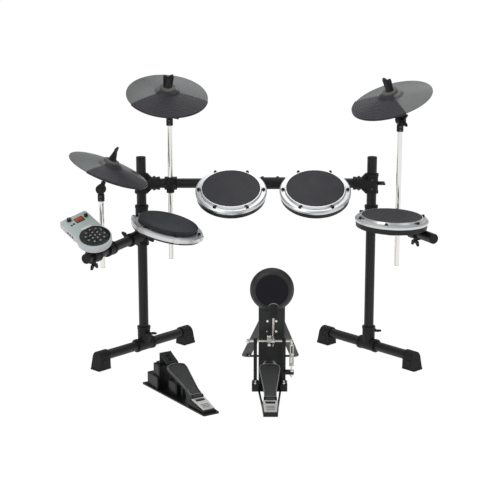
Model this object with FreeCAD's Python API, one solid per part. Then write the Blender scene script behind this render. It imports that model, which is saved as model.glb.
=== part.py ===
import FreeCAD, Part
import math
import os

V = FreeCAD.Vector
ORIGIN = V(0, 0, 0)
X = V(1, 0, 0)
Y = V(0, 1, 0)
Z = V(0, 0, 1)

# Electronic drum kit. Millimetres and degrees. X runs to the player's right, Y away from the player,
# Z up from the floor. The origin is the middle of the kit on the floor.

# Clearances
RUN = 0.3            # between pieces that turn or slide on each other
FIT = 0.15           # between pieces that are clamped, screwed or glued together

# Rack tubes and their places
TUBE_R = 17.5
TUBE_WALL = 2.0
CAP_T = 4.0
CAP_PLUG = 12.0
POST_LEFT_X = -383.0
POST_RIGHT_X = 444.0
POST_Y = 226.0
POST_TOP = 744.0
BAR_Z = 649.0
BAR_JOINT_X = 79.0
BAR_JOINT_LENGTH = 108.0
BAR_JOINT_R = 21.5
BAR_JOINT_GAP = 2.0

# Floor tubes, feet and base clamps
LEG_Z = 46.0
LEG_ANGLE = 46.5
FOOT_REACH = 212.0
FOOT_LENGTH = 56.0
FOOT_WIDTH = 46.0
FOOT_HEIGHT = 68.0
FOOT_WALL = 10.0
FOOT_SLANT = 14.0
FOOT_CROWN_R = 22.0
BASE_SLEEVE_R = 23.0
BASE_SLEEVE_LENGTH = 80.0
BASE_SOCKET_TOP = 114.0
BASE_FLOOR_WALL = 4.0

# Tee clamps on the posts
TEE_R = 23.0
TEE_HEIGHT = 71.0
TEE_SOCKET_R = 22.5
TEE_REACH = 67.0
ARM_REACH = 93.0
TEE_WEB = 3.0
TEE_LIP = 1.5
TEE_LIP_WIDTH = 9.0
GUSSET = 15.0
GUSSET_T = 18.0

# Wing screws
SCREW_STEM_R = 3.0
SCREW_HUB_R = 7.0
SCREW_HUB_H = 13.0
WING_SPAN = 22.0
WING_HEIGHT = 25.0
WING_T = 6.0

# Side arms
LEFT_ARM_Z = 458.0
LEFT_ARM_ANGLE = 25.4
LEFT_ARM_LENGTH = 387.0
RIGHT_ARM_Z = 533.0
RIGHT_ARM_ANGLE = 26.0
RIGHT_ARM_LENGTH = 412.0
HIHAT_ROD_ALONG = 232.0
RIDE_ROD_ALONG = 136.0
CRASH_ROD_X = -277.0

# Cymbal rods and their clamps
ROD_R = 9.0
ROD_WALL = 1.5
ROD_WEB = 2.0
ROD_CLAMP_R = 22.5
ROD_CLAMP_WIDTH = 44.0
ROD_SLEEVE_R = 14.0
ROD_SLEEVE_HEIGHT = 56.0
CRASH_ROD_FOOT = 379.0
CRASH_PIVOT_Z = 905.0
RIDE_ROD_FOOT = 375.0
RIDE_PIVOT_Z = 897.0
HIHAT_ROD_FOOT = 389.0
HIHAT_PIVOT_Z = 668.0

# Cymbal tilters
KNUCKLE_R = 17.0
KNUCKLE_T = 9.0
KNUCKLE_GAP = 1.0
KNUCKLE_BOLT_R = 3.5
KNUCKLE_NUT_R = 7.0
KNUCKLE_NUT_T = 5.0
NECK_SLEEVE_R = 12.0
NECK_SLEEVE_H = 24.0
ROD_SET_IN = 16.0
STEM_NECK_R = 8.0
STEM_NECK_H = 10.0
STEM_R = 4.0
STEM_TO_EDGE = 75.0
CRASH_STEM_SIDE = -14.0
RIDE_STEM_SIDE = -14.0
HIHAT_STEM_SIDE = 0.0
SEAT_R = 14.0
SEAT_T = 3.0
FELT_LOW_R = 20.0
FELT_R = 26.5
FELT_T = 8.0
NUT_R = 15.0
NUT_TIP_R = 5.0
NUT_H = 18.0
NUT_PRONG_H = 48.0
NUT_PRONG_HALF = 18.5
NUT_PRONG_T = 8.0

# Cymbals
CYMBAL_R = 143.5
CYMBAL_T = 2.5
BOW_H = 16.0
BELL_R = 45.0
BELL_FLAT_R = 28.0
BELL_H = 11.0
BELL_SWELL = 2.0
CYMBAL_HOLE_R = 6.0
WEDGE_ARC = 125.0
WEDGE_T = 3.0
SENSOR_BOX_OUT = 96.0
SENSOR_BOX_LENGTH = 44.0
SENSOR_BOX_WIDTH = 30.0
SENSOR_BOX_H = 14.0
CRASH_NORMAL = V(0.10, -0.38, 0.92)
RIDE_NORMAL = V(-0.29, -0.24, 0.93)
HIHAT_NORMAL = V(0.378, -0.05, 0.925)
CRASH_WEDGE_AT = V(0.14, -1.0, 0.0)
RIDE_WEDGE_AT = V(-0.77, -0.64, 0.0)
HIHAT_WEDGE_AT = V(0.62, -0.79, 0.0)

# Drum pads, toms first
HEAD_R = 101.5
HEAD_T = 5.0
HEAD_GAP = 0.5
HOOP_R = 125.0
HOOP_T = 2.5
HOOP_DROP = 19.5
HOOP_LIP = 3.0
HOOP_BEVEL = 5.0
LEDGE_DROP = 7.0
SHELL_DROP = 38.0
SHELL_FOOT_R = 121.0
SHELL_WALL = 3.0
RING_WALL = 5.0
FOAM_T = 9.0
PIEZO_R = 17.0
PIEZO_T = 3.0
SCREW_COUNT = 6
PAD_SCREW_CIRCLE = 113.5
PAD_SCREW_HEAD_R = 4.5
PAD_SCREW_HEAD_H = 6.0
PAD_SCREW_R = 2.5
PAD_SCREW_DEEP = 14.0
BOSS_R = 5.0
JACK_R = 7.0
JACK_BORE_R = 3.2
JACK_H = 9.0
JACK_OUT = 72.0
# Snare pad, a thicker head over a lower hoop with lugs
SNARE_HEAD_R = 104.0
SNARE_HEAD_T = 12.0
SNARE_HOOP_R = 126.0
SNARE_LEDGE_DROP = 15.0
SNARE_HOOP_DROP = 33.0
SNARE_SHELL_DROP = 40.0
LUG_WIDTH = 20.0
LUG_OUT = 4.0

# Pad places
TOM_LEFT_X = -59.0
TOM_RIGHT_X = 235.0
TOM_FORWARD = 150.0
TOM_RISE = 13.0
TOM_TILT = 26.65
FLOOR_TOM_FROM_END = 114.0
FLOOR_TOM_SIDE = 96.0
FLOOR_TOM_RISE = 67.0
FLOOR_TOM_NORMAL = V(0.0355, -0.023, 0.999)
FLOOR_TOM_TURN = 15.0
SNARE_REACH = 273.5
SNARE_BEARING = -66.0
SNARE_Z = 566.0
SNARE_NORMAL = V(0.240, -0.065, 0.968)
SNARE_TURN = -12.0

# Pad mounts
MOUNT_RING_R = 23.5
MOUNT_RING_WIDTH = 44.0
MOUNT_HUB_R = 24.0
MOUNT_HUB_H = 26.0
MOUNT_NECK_R = 10.0
MOUNT_NECK_LOW = 13.5
SNARE_MOUNT_Z = 533.0
SNARE_ROD_R = 6.0
SNARE_ROD_PAST = 36.0
SNARE_BOSS_R = 12.0
SNARE_BOSS_REACH = 62.0

# Sound module
MODULE_AT = V(-545.0, -104.0, 555.0)
MODULE_ACROSS = V(0.788, 0.550, 0.276)
MODULE_NORMAL = V(0.004, -0.4515, 0.8906)
MODULE_ARM_ALONG = 335.0
MODULE_HALF_WIDTH = 53.0
MODULE_TOP_END = 92.0
MODULE_ROUND_R = 59.0
MODULE_ROUND_AT = -45.0
MODULE_T = 36.0
MODULE_WALL = 3.0
MODULE_CORNER_R = 8.0
MODULE_EDGE_R = 3.0
FACE_T = 2.5
FACE_LEDGE = 2.0
BULGE_HALF = 40.0
BULGE_LOW = 12.0
BULGE_FROM = 22.0
BULGE_TO = 78.0
MODULE_BOSS_R = 20.0
MODULE_BOSS_H = 8.0
BOARD_T = 1.6
BOARD_DROP = 15.0
BOARD_HALF = 44.0
BOARD_FROM = -60.0
BOARD_TO = 80.0
BOARD_POST_R = 4.0
LCD_AT = V(9.0, 61.0, 0.0)
LCD_WIDTH = 27.0
LCD_HEIGHT = 20.0
KEYPAD_AT = V(6.0, -40.0, 0.0)
KEYPAD_R = 46.0
KEYPAD_T = 0.8
KEY_R = 3.6
KEY_RISE = 1.8
KEY_DEEP = 6.0
KEY_RING_R = (0.0, 16.5, 33.0)
KEY_RING_COUNT = (1, 6, 10)
SIDE_KEYS = (V(-29.0, 50.0, 0.0), V(-19.0, 52.0, 0.0))
VOLUME_AT = V(-22.0, 77.0, 0.0)
VOLUME_R = 8.0
VOLUME_H = 9.0
VALUE_AT = V(36.0, 62.0, 0.0)
VALUE_R = 6.5
VALUE_H = 10.0
KNOB_SHAFT_R = 3.0
KNOB_SHAFT_DEEP = 8.0
PORT_WIDTH = 12.0
PORT_HEIGHT = 8.0
PORT_AT_Y = 28.0

# Kick column and pad
KICK_X = 82.0
COLUMN_WIDTH = 91.0
COLUMN_DEPTH = 30.0
COLUMN_FRONT = -104.0
COLUMN_TOP = 366.0
COLUMN_WALL = 4.0
COLUMN_CORNER_R = 6.0
KICK_PAD_Z = 347.0
KICK_PAD_R = 75.5
KICK_PAD_T = 24.0
KICK_RIM_BACK = 10.0
KICK_RIM_BEVEL = 8.0
KICK_FACE_R = 57.0
KICK_BACK_T = 6.0
KICK_FACE_RECESS = 2.0
COLUMN_SCREW_GRID = (30.0, 37.0)
COLUMN_SCREW_Z = 214.0
COLUMN_SCREW_R = 2.0
BRACE_TOP_Z = 255.0
BRACE_TOP_HALF = 17.5
BRACE_FOOT_Y = 195.0
BRACE_FOOT_Z = 12.5
BRACE_FOOT_HALF = 88.0
BRACE_WIDTH = 33.0
BRACE_T = 4.0
BRACE_PLATE_LOW = 186.0
BRACE_PLATE_HIGH = 268.0
CROSS_ROD_R = 4.0
SPIKE_R = 3.0
SPIKE_HEAD_R = 5.0
SPIKE_HEAD_H = 4.0
SPIKE_INSET = 9.0

# Kick pedal frame
PEDAL_X = 74.0
FRAME_HALF = 49.0
FRAME_Y = -149.0
FRAME_POST_WIDTH = 12.0
FRAME_POST_DEPTH = 16.0
FRAME_HEAD_R = 10.0
AXLE_Z = 175.0
PLATE_T = 4.0
BLOCK_WIDTH = 24.0
BLOCK_DEPTH = 44.0
BLOCK_HEIGHT = 26.0
BASE_BACK = -76.0
SIDE_BAR_R = 3.5
HEEL_END = -417.0
HEEL_HALF = 28.0
HEEL_TAPER = 4.0
HEEL_FRONT_T = 12.0
HEEL_BACK_T = 29.0
HEEL_CHAMFER = 3.0
HINGE_Y = -338.0
HINGE_Z = 33.0
HINGE_UNDER_GAP = 4.0
HINGE_R = 6.5
HINGE_PIN_R = 3.0
HINGE_LUG_T = 7.0
HINGE_KNUCKLE_HALF = 15.0
HEEL_PLATE_HALF = 25.0
HEEL_PLATE_T = 3.0
HEEL_PLATE_MARGIN = 7.0
HEEL_SLOT_HALF = 15.0
HEEL_SLOT_LENGTH = 10.0
HEEL_SLOT_EDGE = 8.0
HEEL_RIBS = 4
HEEL_RIB_PITCH = 9.0
HEEL_RIB_WIDTH = 4.0
HEEL_RIB_H = 1.5

# Footboards
BOARD_LENGTH = 170.0
BOARD_TOE_HALF = 36.0
BOARD_HEEL_HALF = 21.3
BOARD_THICK = 6.0
BOARD_RIM = 3.0
BOARD_RIM_H = 2.0
BOARD_WAIST = 34.0
BOARD_SHOULDER = 143.0
BOARD_TOE_IN = 2.5
BOARD_TOE_CROWN = 10.0
KICK_BOARD_ANGLE = 24.0

# Strap, axle, beater
STRAP_X = 72.0
TONGUE_FROM = 162.0
TONGUE_TO = 190.0
TONGUE_FOOT_HALF = 29.0
TONGUE_TIP_HALF = 15.0
STRAP_ALONG = 177.4
STRAP_RISE = 6.0
STRAP_HALF = 7.0
STRAP_T = 2.5
STRAP_EYE_R = 5.0
STRAP_PIN_R = 2.2
STRAP_LUG_T = 4.0
STRAP_LUG_R = 5.0
STRAP_TOP_RISE = 3.0
AXLE_R = 4.0
AXLE_LEFT = 72.0
AXLE_RIGHT = 78.0
CAM_R = 26.0
CAM_HALF = 7.0
BEATER_X = 85.0
BEATER_HUB_R = 11.0
BEATER_HUB_HALF = 5.5
BEATER_LEAN = 41.0
BEATER_REACH = 190.0
BEATER_ROD_R = 3.0
BEATER_TAIL = 34.0
BEATER_HEAD_R = 15.5
BEATER_HEAD_LENGTH = 40.0
CRANK_REACH = 18.0
CRANK_DROP = 30.0
CRANK_R = 6.5
CRANK_T = 6.0
CRANK_PIN_R = 2.0

# Return spring and its adjuster
SPRING_WIRE = 2.0
SPRING_COIL_R = 7.0
SPRING_PITCH = 3.2
SPRING_TURNS = 11
SPRING_FOOT_Z = 94.0
SPRING_CUP_R = 8.0
SPRING_CUP_T = 3.0
SPRING_GAP = 0.2
STUD_R = 3.0
STUD_FOOT_Z = 50.0
STUD_NUT_R = 6.5
STUD_NUT_T = 6.0
BRACKET_Z = 62.0
BRACKET_T = 8.0

# Hi-hat pedal, laid along its own Y from heel to back
HIHAT_HEEL_AT = V(-119.0, -398.0, 0.0)
HIHAT_TURN = 31.75
SOLE_LENGTH = 395.0
SOLE_HEEL_HALF = 30.0
SOLE_BACK_HALF = 50.0
SOLE_T = 5.0
SOLE_CORNER_R = 6.0
HIHAT_HEEL_FRONT = 12.0
HIHAT_HINGE_Y = 97.0
HIHAT_HINGE_Z = 34.0
HIHAT_BOARD_ANGLE = 24.0
HOUSING_FROM = 300.0
HOUSING_BACK_GAP = 20.0
HOUSING_HALF = 40.0
HOUSING_LOW = 50.0
HOUSING_STEP = 32.0
HOUSING_HIGH = 90.0
HOUSING_TOP_HALF = 33.0
HOUSING_TOP_LENGTH = 43.0
HOUSING_ROUND_R = 4.0
BRACKET_HALF = 22.0
BRACKET_PLATE_T = 4.0
BRACKET_SET_BACK = 12.0
BRACKET_RISE = 40.0
BRACKET_LEAD = 50.0
BRACKET_HOLE_R = 5.0
BRACKET_HOLES = (15.5, 33.0)
SWITCH_R = 9.0
SWITCH_H = 36.0
SWITCH_AT = 190.0


# Plain helpers

def unit(vector):
    result = V(vector)
    result.normalize()
    return result


def rod(start, axis, radius, length):
    return Part.makeCylinder(radius, length, start, axis)


def pipe(start, axis, outer, inner, length):
    return rod(start, axis, outer, length).cut(rod(start, axis, inner, length))


def block(low, high):
    size = high - low
    return Part.makeBox(size.x, size.y, size.z, low)


def fuse(*shapes):
    return shapes[0].multiFuse(list(shapes[1:])).removeSplitter()


def turned(points, angle=360.0):
    """Solid of revolution about Z from a closed outline of (radius, height) points."""
    corners = [V(r, 0, h) for r, h in points]
    outline = Part.makePolygon(corners + corners[:1])
    return Part.Face(outline).revolve(ORIGIN, Z, angle)


def plate(points, low, high):
    """Flat solid between two heights from a closed outline of (x, y) points."""
    corners = [V(x, y, low) for x, y in points]
    outline = Part.makePolygon(corners + corners[:1])
    return Part.Face(outline).extrude(V(0, 0, high - low))


def frame(origin, x_axis, z_axis):
    z = unit(z_axis)
    y = unit(z.cross(x_axis))
    return FreeCAD.Placement(origin, FreeCAD.Rotation(y.cross(z), y, z, "ZXY"))


def placed(shapes, placement):
    moved = []
    for shape in shapes:
        copy = shape.copy()
        copy.Placement = placement.multiply(copy.Placement)
        moved.append(copy)
    return moved


def around(angle, radius, height):
    turn = math.radians(angle)
    return V(radius * math.cos(turn), radius * math.sin(turn), height)


# Wing screw on +Z, its seat at the origin and its stem below

def wing_screw(stem_length):
    stem = rod(V(0, 0, -stem_length), Z, SCREW_STEM_R, stem_length + SCREW_HUB_H)
    hub = rod(ORIGIN, Z, SCREW_HUB_R, SCREW_HUB_H)
    neck = SCREW_HUB_R * 0.3
    right = [(neck, 2), (WING_SPAN * 0.85, SCREW_HUB_H * 0.6), (WING_SPAN, WING_HEIGHT * 0.9),
             (WING_SPAN * 0.72, WING_HEIGHT), (neck, SCREW_HUB_H)]
    wings = []
    for side in (1, -1):
        corners = [V(side * x, -WING_T / 2, z) for x, z in right]
        outline = Part.makePolygon(corners + corners[:1])
        wings.append(Part.Face(outline).extrude(V(0, WING_T, 0)))
    return fuse(stem, hub, *wings)


def screwed(clamp, seat, axis, depth, across):
    """Bores the clamp at the seat and returns it with a wing screw that reaches in by depth."""
    hole = rod(seat - unit(axis) * depth, axis, SCREW_STEM_R + FIT, depth * 2)
    screw = placed([wing_screw(depth)], frame(seat, across, axis))
    return [clamp.cut(hole)] + screw


# Rack

def tube(start, axis, length):
    return pipe(start, axis, TUBE_R, TUBE_R - TUBE_WALL, length)


def tube_cap(seat, axis):
    plug = rod(seat - unit(axis) * CAP_PLUG, axis, TUBE_R - TUBE_WALL - FIT, CAP_PLUG)
    return fuse(rod(seat, axis, TUBE_R, CAP_T), plug)


def tee_clamp(clearance, reach):
    """Sleeve round a post on Z, with a socket for a tube on +X."""
    half = TEE_HEIGHT / 2
    parts = [rod(V(0, 0, -half), Z, TEE_R, TEE_HEIGHT), rod(ORIGIN, X, TEE_SOCKET_R, reach)]
    for low in (-half, half - TEE_LIP_WIDTH):
        parts.append(rod(V(0, 0, low), Z, TEE_R + TEE_LIP, TEE_LIP_WIDTH))
    parts.append(rod(V(reach - TEE_LIP_WIDTH, 0, 0), X, TEE_SOCKET_R + TEE_LIP, TEE_LIP_WIDTH))
    for side in (1, -1):
        corners = [V(0, -GUSSET_T / 2, 0), V(TEE_R + GUSSET, -GUSSET_T / 2, side * TEE_SOCKET_R * 0.9),
                   V(TEE_R * 0.9, -GUSSET_T / 2, side * (TEE_SOCKET_R + GUSSET))]
        outline = Part.makePolygon(corners + corners[:1])
        parts.append(Part.Face(outline).extrude(V(0, GUSSET_T, 0)))
    body = fuse(*parts)
    body = body.cut(rod(V(0, 0, -TEE_HEIGHT), Z, TUBE_R + clearance, TEE_HEIGHT * 2))
    return body.cut(rod(V(TUBE_R + TEE_WEB, 0, 0), X, TUBE_R + FIT, reach))


def tee_with_screw(clearance, reach, seat_axis, across):
    clamp = tee_clamp(clearance, reach)
    depth = TEE_R - TUBE_R - clearance
    return screwed(clamp, unit(seat_axis) * TEE_R, seat_axis, depth, across)


def leg_axis(side):
    turn = math.radians(LEG_ANGLE)
    return V(side * math.cos(turn), math.sin(turn), 0)


def foot():
    """Rubber foot round a tube end on +X. Its middle is over the origin, the tube at LEG_Z."""
    half = FOOT_LENGTH / 2
    side = [(-half, 0), (half, 0), (half - FOOT_SLANT, FOOT_HEIGHT), (-half, FOOT_HEIGHT)]
    corners = [V(x, -FOOT_WIDTH, z) for x, z in side]
    slab = Part.Face(Part.makePolygon(corners + corners[:1])).extrude(V(0, FOOT_WIDTH * 2, 0))
    spring_line = FOOT_HEIGHT - FOOT_CROWN_R
    low_left, low_right = V(-half, -FOOT_WIDTH / 2, 0), V(-half, FOOT_WIDTH / 2, 0)
    top_left, top_right = V(-half, -FOOT_CROWN_R, spring_line), V(-half, FOOT_CROWN_R, spring_line)
    crown = Part.Arc(top_right, V(-half, 0, FOOT_HEIGHT), top_left).toShape()
    lines = [Part.makeLine(top_left, low_left), Part.makeLine(low_left, low_right),
             Part.makeLine(low_right, top_right)]
    arch = Part.Face(Part.Wire([crown] + lines)).extrude(V(FOOT_LENGTH, 0, 0))
    bore = rod(V(-half, 0, LEG_Z), X, TUBE_R + FIT, FOOT_LENGTH - FOOT_WALL - FOOT_SLANT)
    return slab.common(arch).cut(bore)


def foot_frames():
    frames = []
    for post_x, side in ((POST_LEFT_X, 1), (POST_RIGHT_X, -1)):
        for way in (1, -1):
            out = leg_axis(side) * way
            frames.append(frame(V(post_x, POST_Y, 0) + out * FOOT_REACH, out, Z))
    return frames


def base_clamp():
    """Sleeve along X on the floor tube with a socket on Z for the post."""
    half = BASE_SLEEVE_LENGTH / 2
    parts = [rod(V(-half, 0, LEG_Z), X, BASE_SLEEVE_R, BASE_SLEEVE_LENGTH),
             rod(V(0, 0, LEG_Z), Z, TEE_R, BASE_SOCKET_TOP - LEG_Z),
             rod(V(0, 0, BASE_SOCKET_TOP - TEE_LIP_WIDTH), Z, TEE_R + TEE_LIP, TEE_LIP_WIDTH)]
    for low in (-half, half - TEE_LIP_WIDTH):
        parts.append(rod(V(low, 0, LEG_Z), X, BASE_SLEEVE_R + TEE_LIP, TEE_LIP_WIDTH))
    body = fuse(*parts)
    body = body.cut(rod(V(-BASE_SLEEVE_LENGTH, 0, LEG_Z), X, TUBE_R + FIT, BASE_SLEEVE_LENGTH * 2))
    return body.cut(rod(V(0, 0, post_foot()), Z, TUBE_R + FIT, BASE_SOCKET_TOP))


def post_foot():
    return LEG_Z + TUBE_R + BASE_FLOOR_WALL


def bar_start(post_x, side):
    return post_x + side * (TUBE_R + TEE_WEB)


def make_rack():
    tubes, feet, bases, clamps = [], [], [], []
    tube_half = FOOT_REACH + FOOT_LENGTH / 2 - FOOT_WALL - FOOT_SLANT
    for post_x, side in ((POST_LEFT_X, 1), (POST_RIGHT_X, -1)):
        along = leg_axis(side)
        tubes.append(tube(V(post_x, POST_Y, LEG_Z) - along * tube_half, along, tube_half * 2))
        depth = TEE_R - TUBE_R - FIT
        seat = V(0, -TEE_R, (BASE_SOCKET_TOP + post_foot()) / 2)
        base = screwed(base_clamp(), seat, V(0, -1, 0), depth, X)
        spot = frame(V(post_x, POST_Y, 0), along * -side if side < 0 else along, Z)
        bases += placed(base, spot)
        tubes.append(tube(V(post_x, POST_Y, post_foot()), Z, POST_TOP - CAP_T - post_foot()))
        clamps.append(tube_cap(V(post_x, POST_Y, POST_TOP - CAP_T), Z))
    for spot in foot_frames():
        feet += placed([foot()], spot)
    for post_x, side in ((POST_LEFT_X, 1), (POST_RIGHT_X, -1)):
        spot = frame(V(post_x, POST_Y, BAR_Z), X * side, Z)
        clamps += placed(tee_with_screw(FIT, TEE_REACH, V(-1, 0, 0), Y), spot)
    sleeve_start = V(BAR_JOINT_X - BAR_JOINT_LENGTH / 2, POST_Y, BAR_Z)
    clamps.append(pipe(sleeve_start, X, BAR_JOINT_R, TUBE_R + FIT, BAR_JOINT_LENGTH))
    left_end = BAR_JOINT_X - BAR_JOINT_GAP / 2
    right_start = BAR_JOINT_X + BAR_JOINT_GAP / 2
    first = bar_start(POST_LEFT_X, 1)
    last = bar_start(POST_RIGHT_X, -1)
    tubes.append(tube(V(first, POST_Y, BAR_Z), X, left_end - first))
    tubes.append(tube(V(right_start, POST_Y, BAR_Z), X, last - right_start))
    clamps += placed(rod_clamp(-1), frame(V(CRASH_ROD_X, POST_Y, BAR_Z), X, Z))
    return {"rack_tubes": tubes, "floor_feet": feet, "base_clamps": bases, "bar_clamps": clamps}


# Side arms

def arm_frame(side):
    if side < 0:
        post_x, height, angle = POST_LEFT_X, LEFT_ARM_Z, LEFT_ARM_ANGLE
    else:
        post_x, height, angle = POST_RIGHT_X, RIGHT_ARM_Z, RIGHT_ARM_ANGLE
    turn = math.radians(angle)
    return frame(V(post_x, POST_Y, height), V(side * math.sin(turn), -math.cos(turn), 0), Z)


def rod_offset():
    return TUBE_R + ROD_WEB + ROD_R


def rod_clamp(side):
    """Clamp on a tube along X that holds an upright rod beside it, on the +Y or -Y side."""
    reach = side * rod_offset()
    half = ROD_CLAMP_WIDTH / 2
    top = ROD_SLEEVE_HEIGHT / 2
    low, high = sorted((0.0, reach))
    parts = [rod(V(-half, 0, 0), X, ROD_CLAMP_R, ROD_CLAMP_WIDTH),
             rod(V(0, reach, -top), Z, ROD_SLEEVE_R, ROD_SLEEVE_HEIGHT),
             block(V(-ROD_SLEEVE_R, low, -ROD_CLAMP_R), V(ROD_SLEEVE_R, high, ROD_CLAMP_R))]
    for start in (-half, half - TEE_LIP_WIDTH):
        parts.append(rod(V(start, 0, 0), X, ROD_CLAMP_R + TEE_LIP, TEE_LIP_WIDTH))
    body = fuse(*parts)
    body = body.cut(rod(V(-ROD_CLAMP_WIDTH, 0, 0), X, TUBE_R + FIT, ROD_CLAMP_WIDTH * 2))
    body = body.cut(rod(V(0, reach, -ROD_SLEEVE_HEIGHT), Z, ROD_R + RUN, ROD_SLEEVE_HEIGHT * 2))
    seat = V(0, reach + side * ROD_SLEEVE_R, 0)
    return screwed(body, seat, Y * side, ROD_SLEEVE_R - ROD_R - RUN, X)


def make_arm(side, length, rod_along):
    """Clamp group and tube of one side arm."""
    clamp, post_screw = tee_with_screw(RUN, ARM_REACH, Y * -side, Z)
    seat = V(ARM_REACH * 0.7, side * TEE_SOCKET_R, 0)
    clamp = screwed(clamp, seat, Y * side, TEE_SOCKET_R - TUBE_R - FIT, Z)
    clamp.append(post_screw)
    holder = placed(rod_clamp(side), FreeCAD.Placement(V(rod_along, 0, 0), FreeCAD.Rotation()))
    start = TUBE_R + TEE_WEB
    pieces = [tube(V(start, 0, 0), X, length - start - CAP_T), tube_cap(V(length - CAP_T, 0, 0), X)]
    spot = arm_frame(side)
    return placed(clamp + holder, spot), placed(pieces, spot)


# Cymbals

def rod_place(name):
    """Axis of a cymbal rod on the floor plan."""
    if name == "crash":
        return V(CRASH_ROD_X, POST_Y - rod_offset(), 0)
    side, along = (1, RIDE_ROD_ALONG) if name == "ride" else (-1, HIHAT_ROD_ALONG)
    spot = arm_frame(side).multVec(V(along, side * rod_offset(), 0))
    return V(spot.x, spot.y, 0)


CYMBALS = {
    "crash": (CRASH_ROD_FOOT, CRASH_PIVOT_Z, CRASH_NORMAL, CRASH_WEDGE_AT, CRASH_STEM_SIDE),
    "ride": (RIDE_ROD_FOOT, RIDE_PIVOT_Z, RIDE_NORMAL, RIDE_WEDGE_AT, RIDE_STEM_SIDE),
    "hihat": (HIHAT_ROD_FOOT, HIHAT_PIVOT_Z, HIHAT_NORMAL, HIHAT_WEDGE_AT, HIHAT_STEM_SIDE),
}


def tilt_axis(normal):
    return unit(Z.cross(V(normal.x, normal.y, 0)))


def pivot(name):
    return rod_place(name) + V(0, 0, CYMBALS[name][1])


def bow_height(radius):
    """Height of the cymbal's top above its edge, on a sphere through edge and bell."""
    sink = (CYMBAL_R ** 2 - BELL_R ** 2 - BOW_H ** 2) / (2 * BOW_H)
    return math.sqrt(CYMBAL_R ** 2 + sink ** 2 - radius ** 2) - sink


def bow_arc(inner, outer, lift):
    middle = (inner + outer) / 2
    points = [V(r, 0, bow_height(r) + lift) for r in (inner, middle, outer)]
    return Part.Arc(*points).toShape()


def bell_arc(lift):
    middle = (BELL_FLAT_R + BELL_R) / 2
    return Part.Arc(V(BELL_FLAT_R, 0, BOW_H + BELL_H + lift),
                    V(middle, 0, BOW_H + BELL_H / 2 + BELL_SWELL + lift),
                    V(BELL_R, 0, BOW_H + lift)).toShape()


def cymbal():
    top = BOW_H + BELL_H
    edges = [bow_arc(BELL_R, CYMBAL_R, 0), bell_arc(0),
             Part.makeLine(V(BELL_FLAT_R, 0, top), V(CYMBAL_HOLE_R, 0, top)),
             Part.makeLine(V(CYMBAL_HOLE_R, 0, top), V(CYMBAL_HOLE_R, 0, top - CYMBAL_T)),
             Part.makeLine(V(CYMBAL_HOLE_R, 0, top - CYMBAL_T), V(BELL_FLAT_R, 0, top - CYMBAL_T)),
             bell_arc(-CYMBAL_T), bow_arc(BELL_R, CYMBAL_R, -CYMBAL_T),
             Part.makeLine(V(CYMBAL_R, 0, -CYMBAL_T), V(CYMBAL_R, 0, 0))]
    bowl = Part.Face(Part.Wire(Part.sortEdges(edges)[0])).revolve(ORIGIN, Z, 360)
    half = SENSOR_BOX_LENGTH / 2
    box_top = bow_height(SENSOR_BOX_OUT + half) - CYMBAL_T / 2
    box = block(V(SENSOR_BOX_OUT - half, -SENSOR_BOX_WIDTH / 2, -SENSOR_BOX_H),
                V(SENSOR_BOX_OUT + half, SENSOR_BOX_WIDTH / 2, box_top))
    low_edges = [edge for edge in box.Edges if edge.Vertexes[0].Z < 0 > edge.Vertexes[1].Z]
    box = box.makeFillet(CYMBAL_T, low_edges)
    jack = rod(V(SENSOR_BOX_OUT - half, 0, -SENSOR_BOX_H / 2), X, JACK_BORE_R, half)
    return fuse(bowl, box).cut(jack)


def strike_wedge():
    """Rubber over the front of the bow and the bell, from the rim up to the felt."""
    inner = V(BELL_FLAT_R, 0, BOW_H + BELL_H + FIT)
    outer = V(CYMBAL_R, 0, FIT)
    rise = V(0, 0, WEDGE_T)
    edges = [bell_arc(FIT), bow_arc(BELL_R, CYMBAL_R, FIT), Part.makeLine(outer, outer + rise),
             bow_arc(BELL_R, CYMBAL_R, FIT + WEDGE_T), bell_arc(FIT + WEDGE_T),
             Part.makeLine(inner + rise, inner)]
    face = Part.Face(Part.Wire(Part.sortEdges(edges)[0]))
    face.rotate(ORIGIN, Z, -WEDGE_ARC / 2)
    return face.revolve(ORIGIN, Z, WEDGE_ARC)


def knuckle_half(side, bolt_clearance):
    """One cheek of the tilter on the +X or -X side, its post on +Z."""
    low, high = sorted((side * RUN / 2, side * KNUCKLE_T))
    cheek = rod(V(low, 0, 0), X, KNUCKLE_R, high - low)
    web = block(V(low, -STEM_NECK_R, 0), V(high, STEM_NECK_R, KNUCKLE_R + KNUCKLE_GAP * 2))
    hole = rod(V(low, 0, 0), X, KNUCKLE_BOLT_R + bolt_clearance, high - low)
    return fuse(cheek, web).cut(hole)


def wing_nut():
    """Tapered nut for the stem with a broad thumb plate, notched between its two prongs."""
    waist = NUT_PRONG_H * 0.8
    hub = turned([(0, 0), (NUT_R, 0), (NUT_TIP_R, waist), (0, waist)])
    right = [(NUT_R, 0), (NUT_PRONG_HALF, waist), (NUT_PRONG_HALF * 0.86, NUT_PRONG_H),
             (NUT_TIP_R, NUT_PRONG_H * 0.92)]
    left = [(-x, z) for x, z in reversed(right)]
    corners = [V(x, -NUT_PRONG_T / 2, z) for x, z in right + [(0, waist)] + left]
    thumb_plate = Part.Face(Part.makePolygon(corners + corners[:1])).extrude(V(0, NUT_PRONG_T, 0))
    return fuse(hub, thumb_plate).cut(rod(ORIGIN, Z, STEM_R + FIT, NUT_H))


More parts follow.
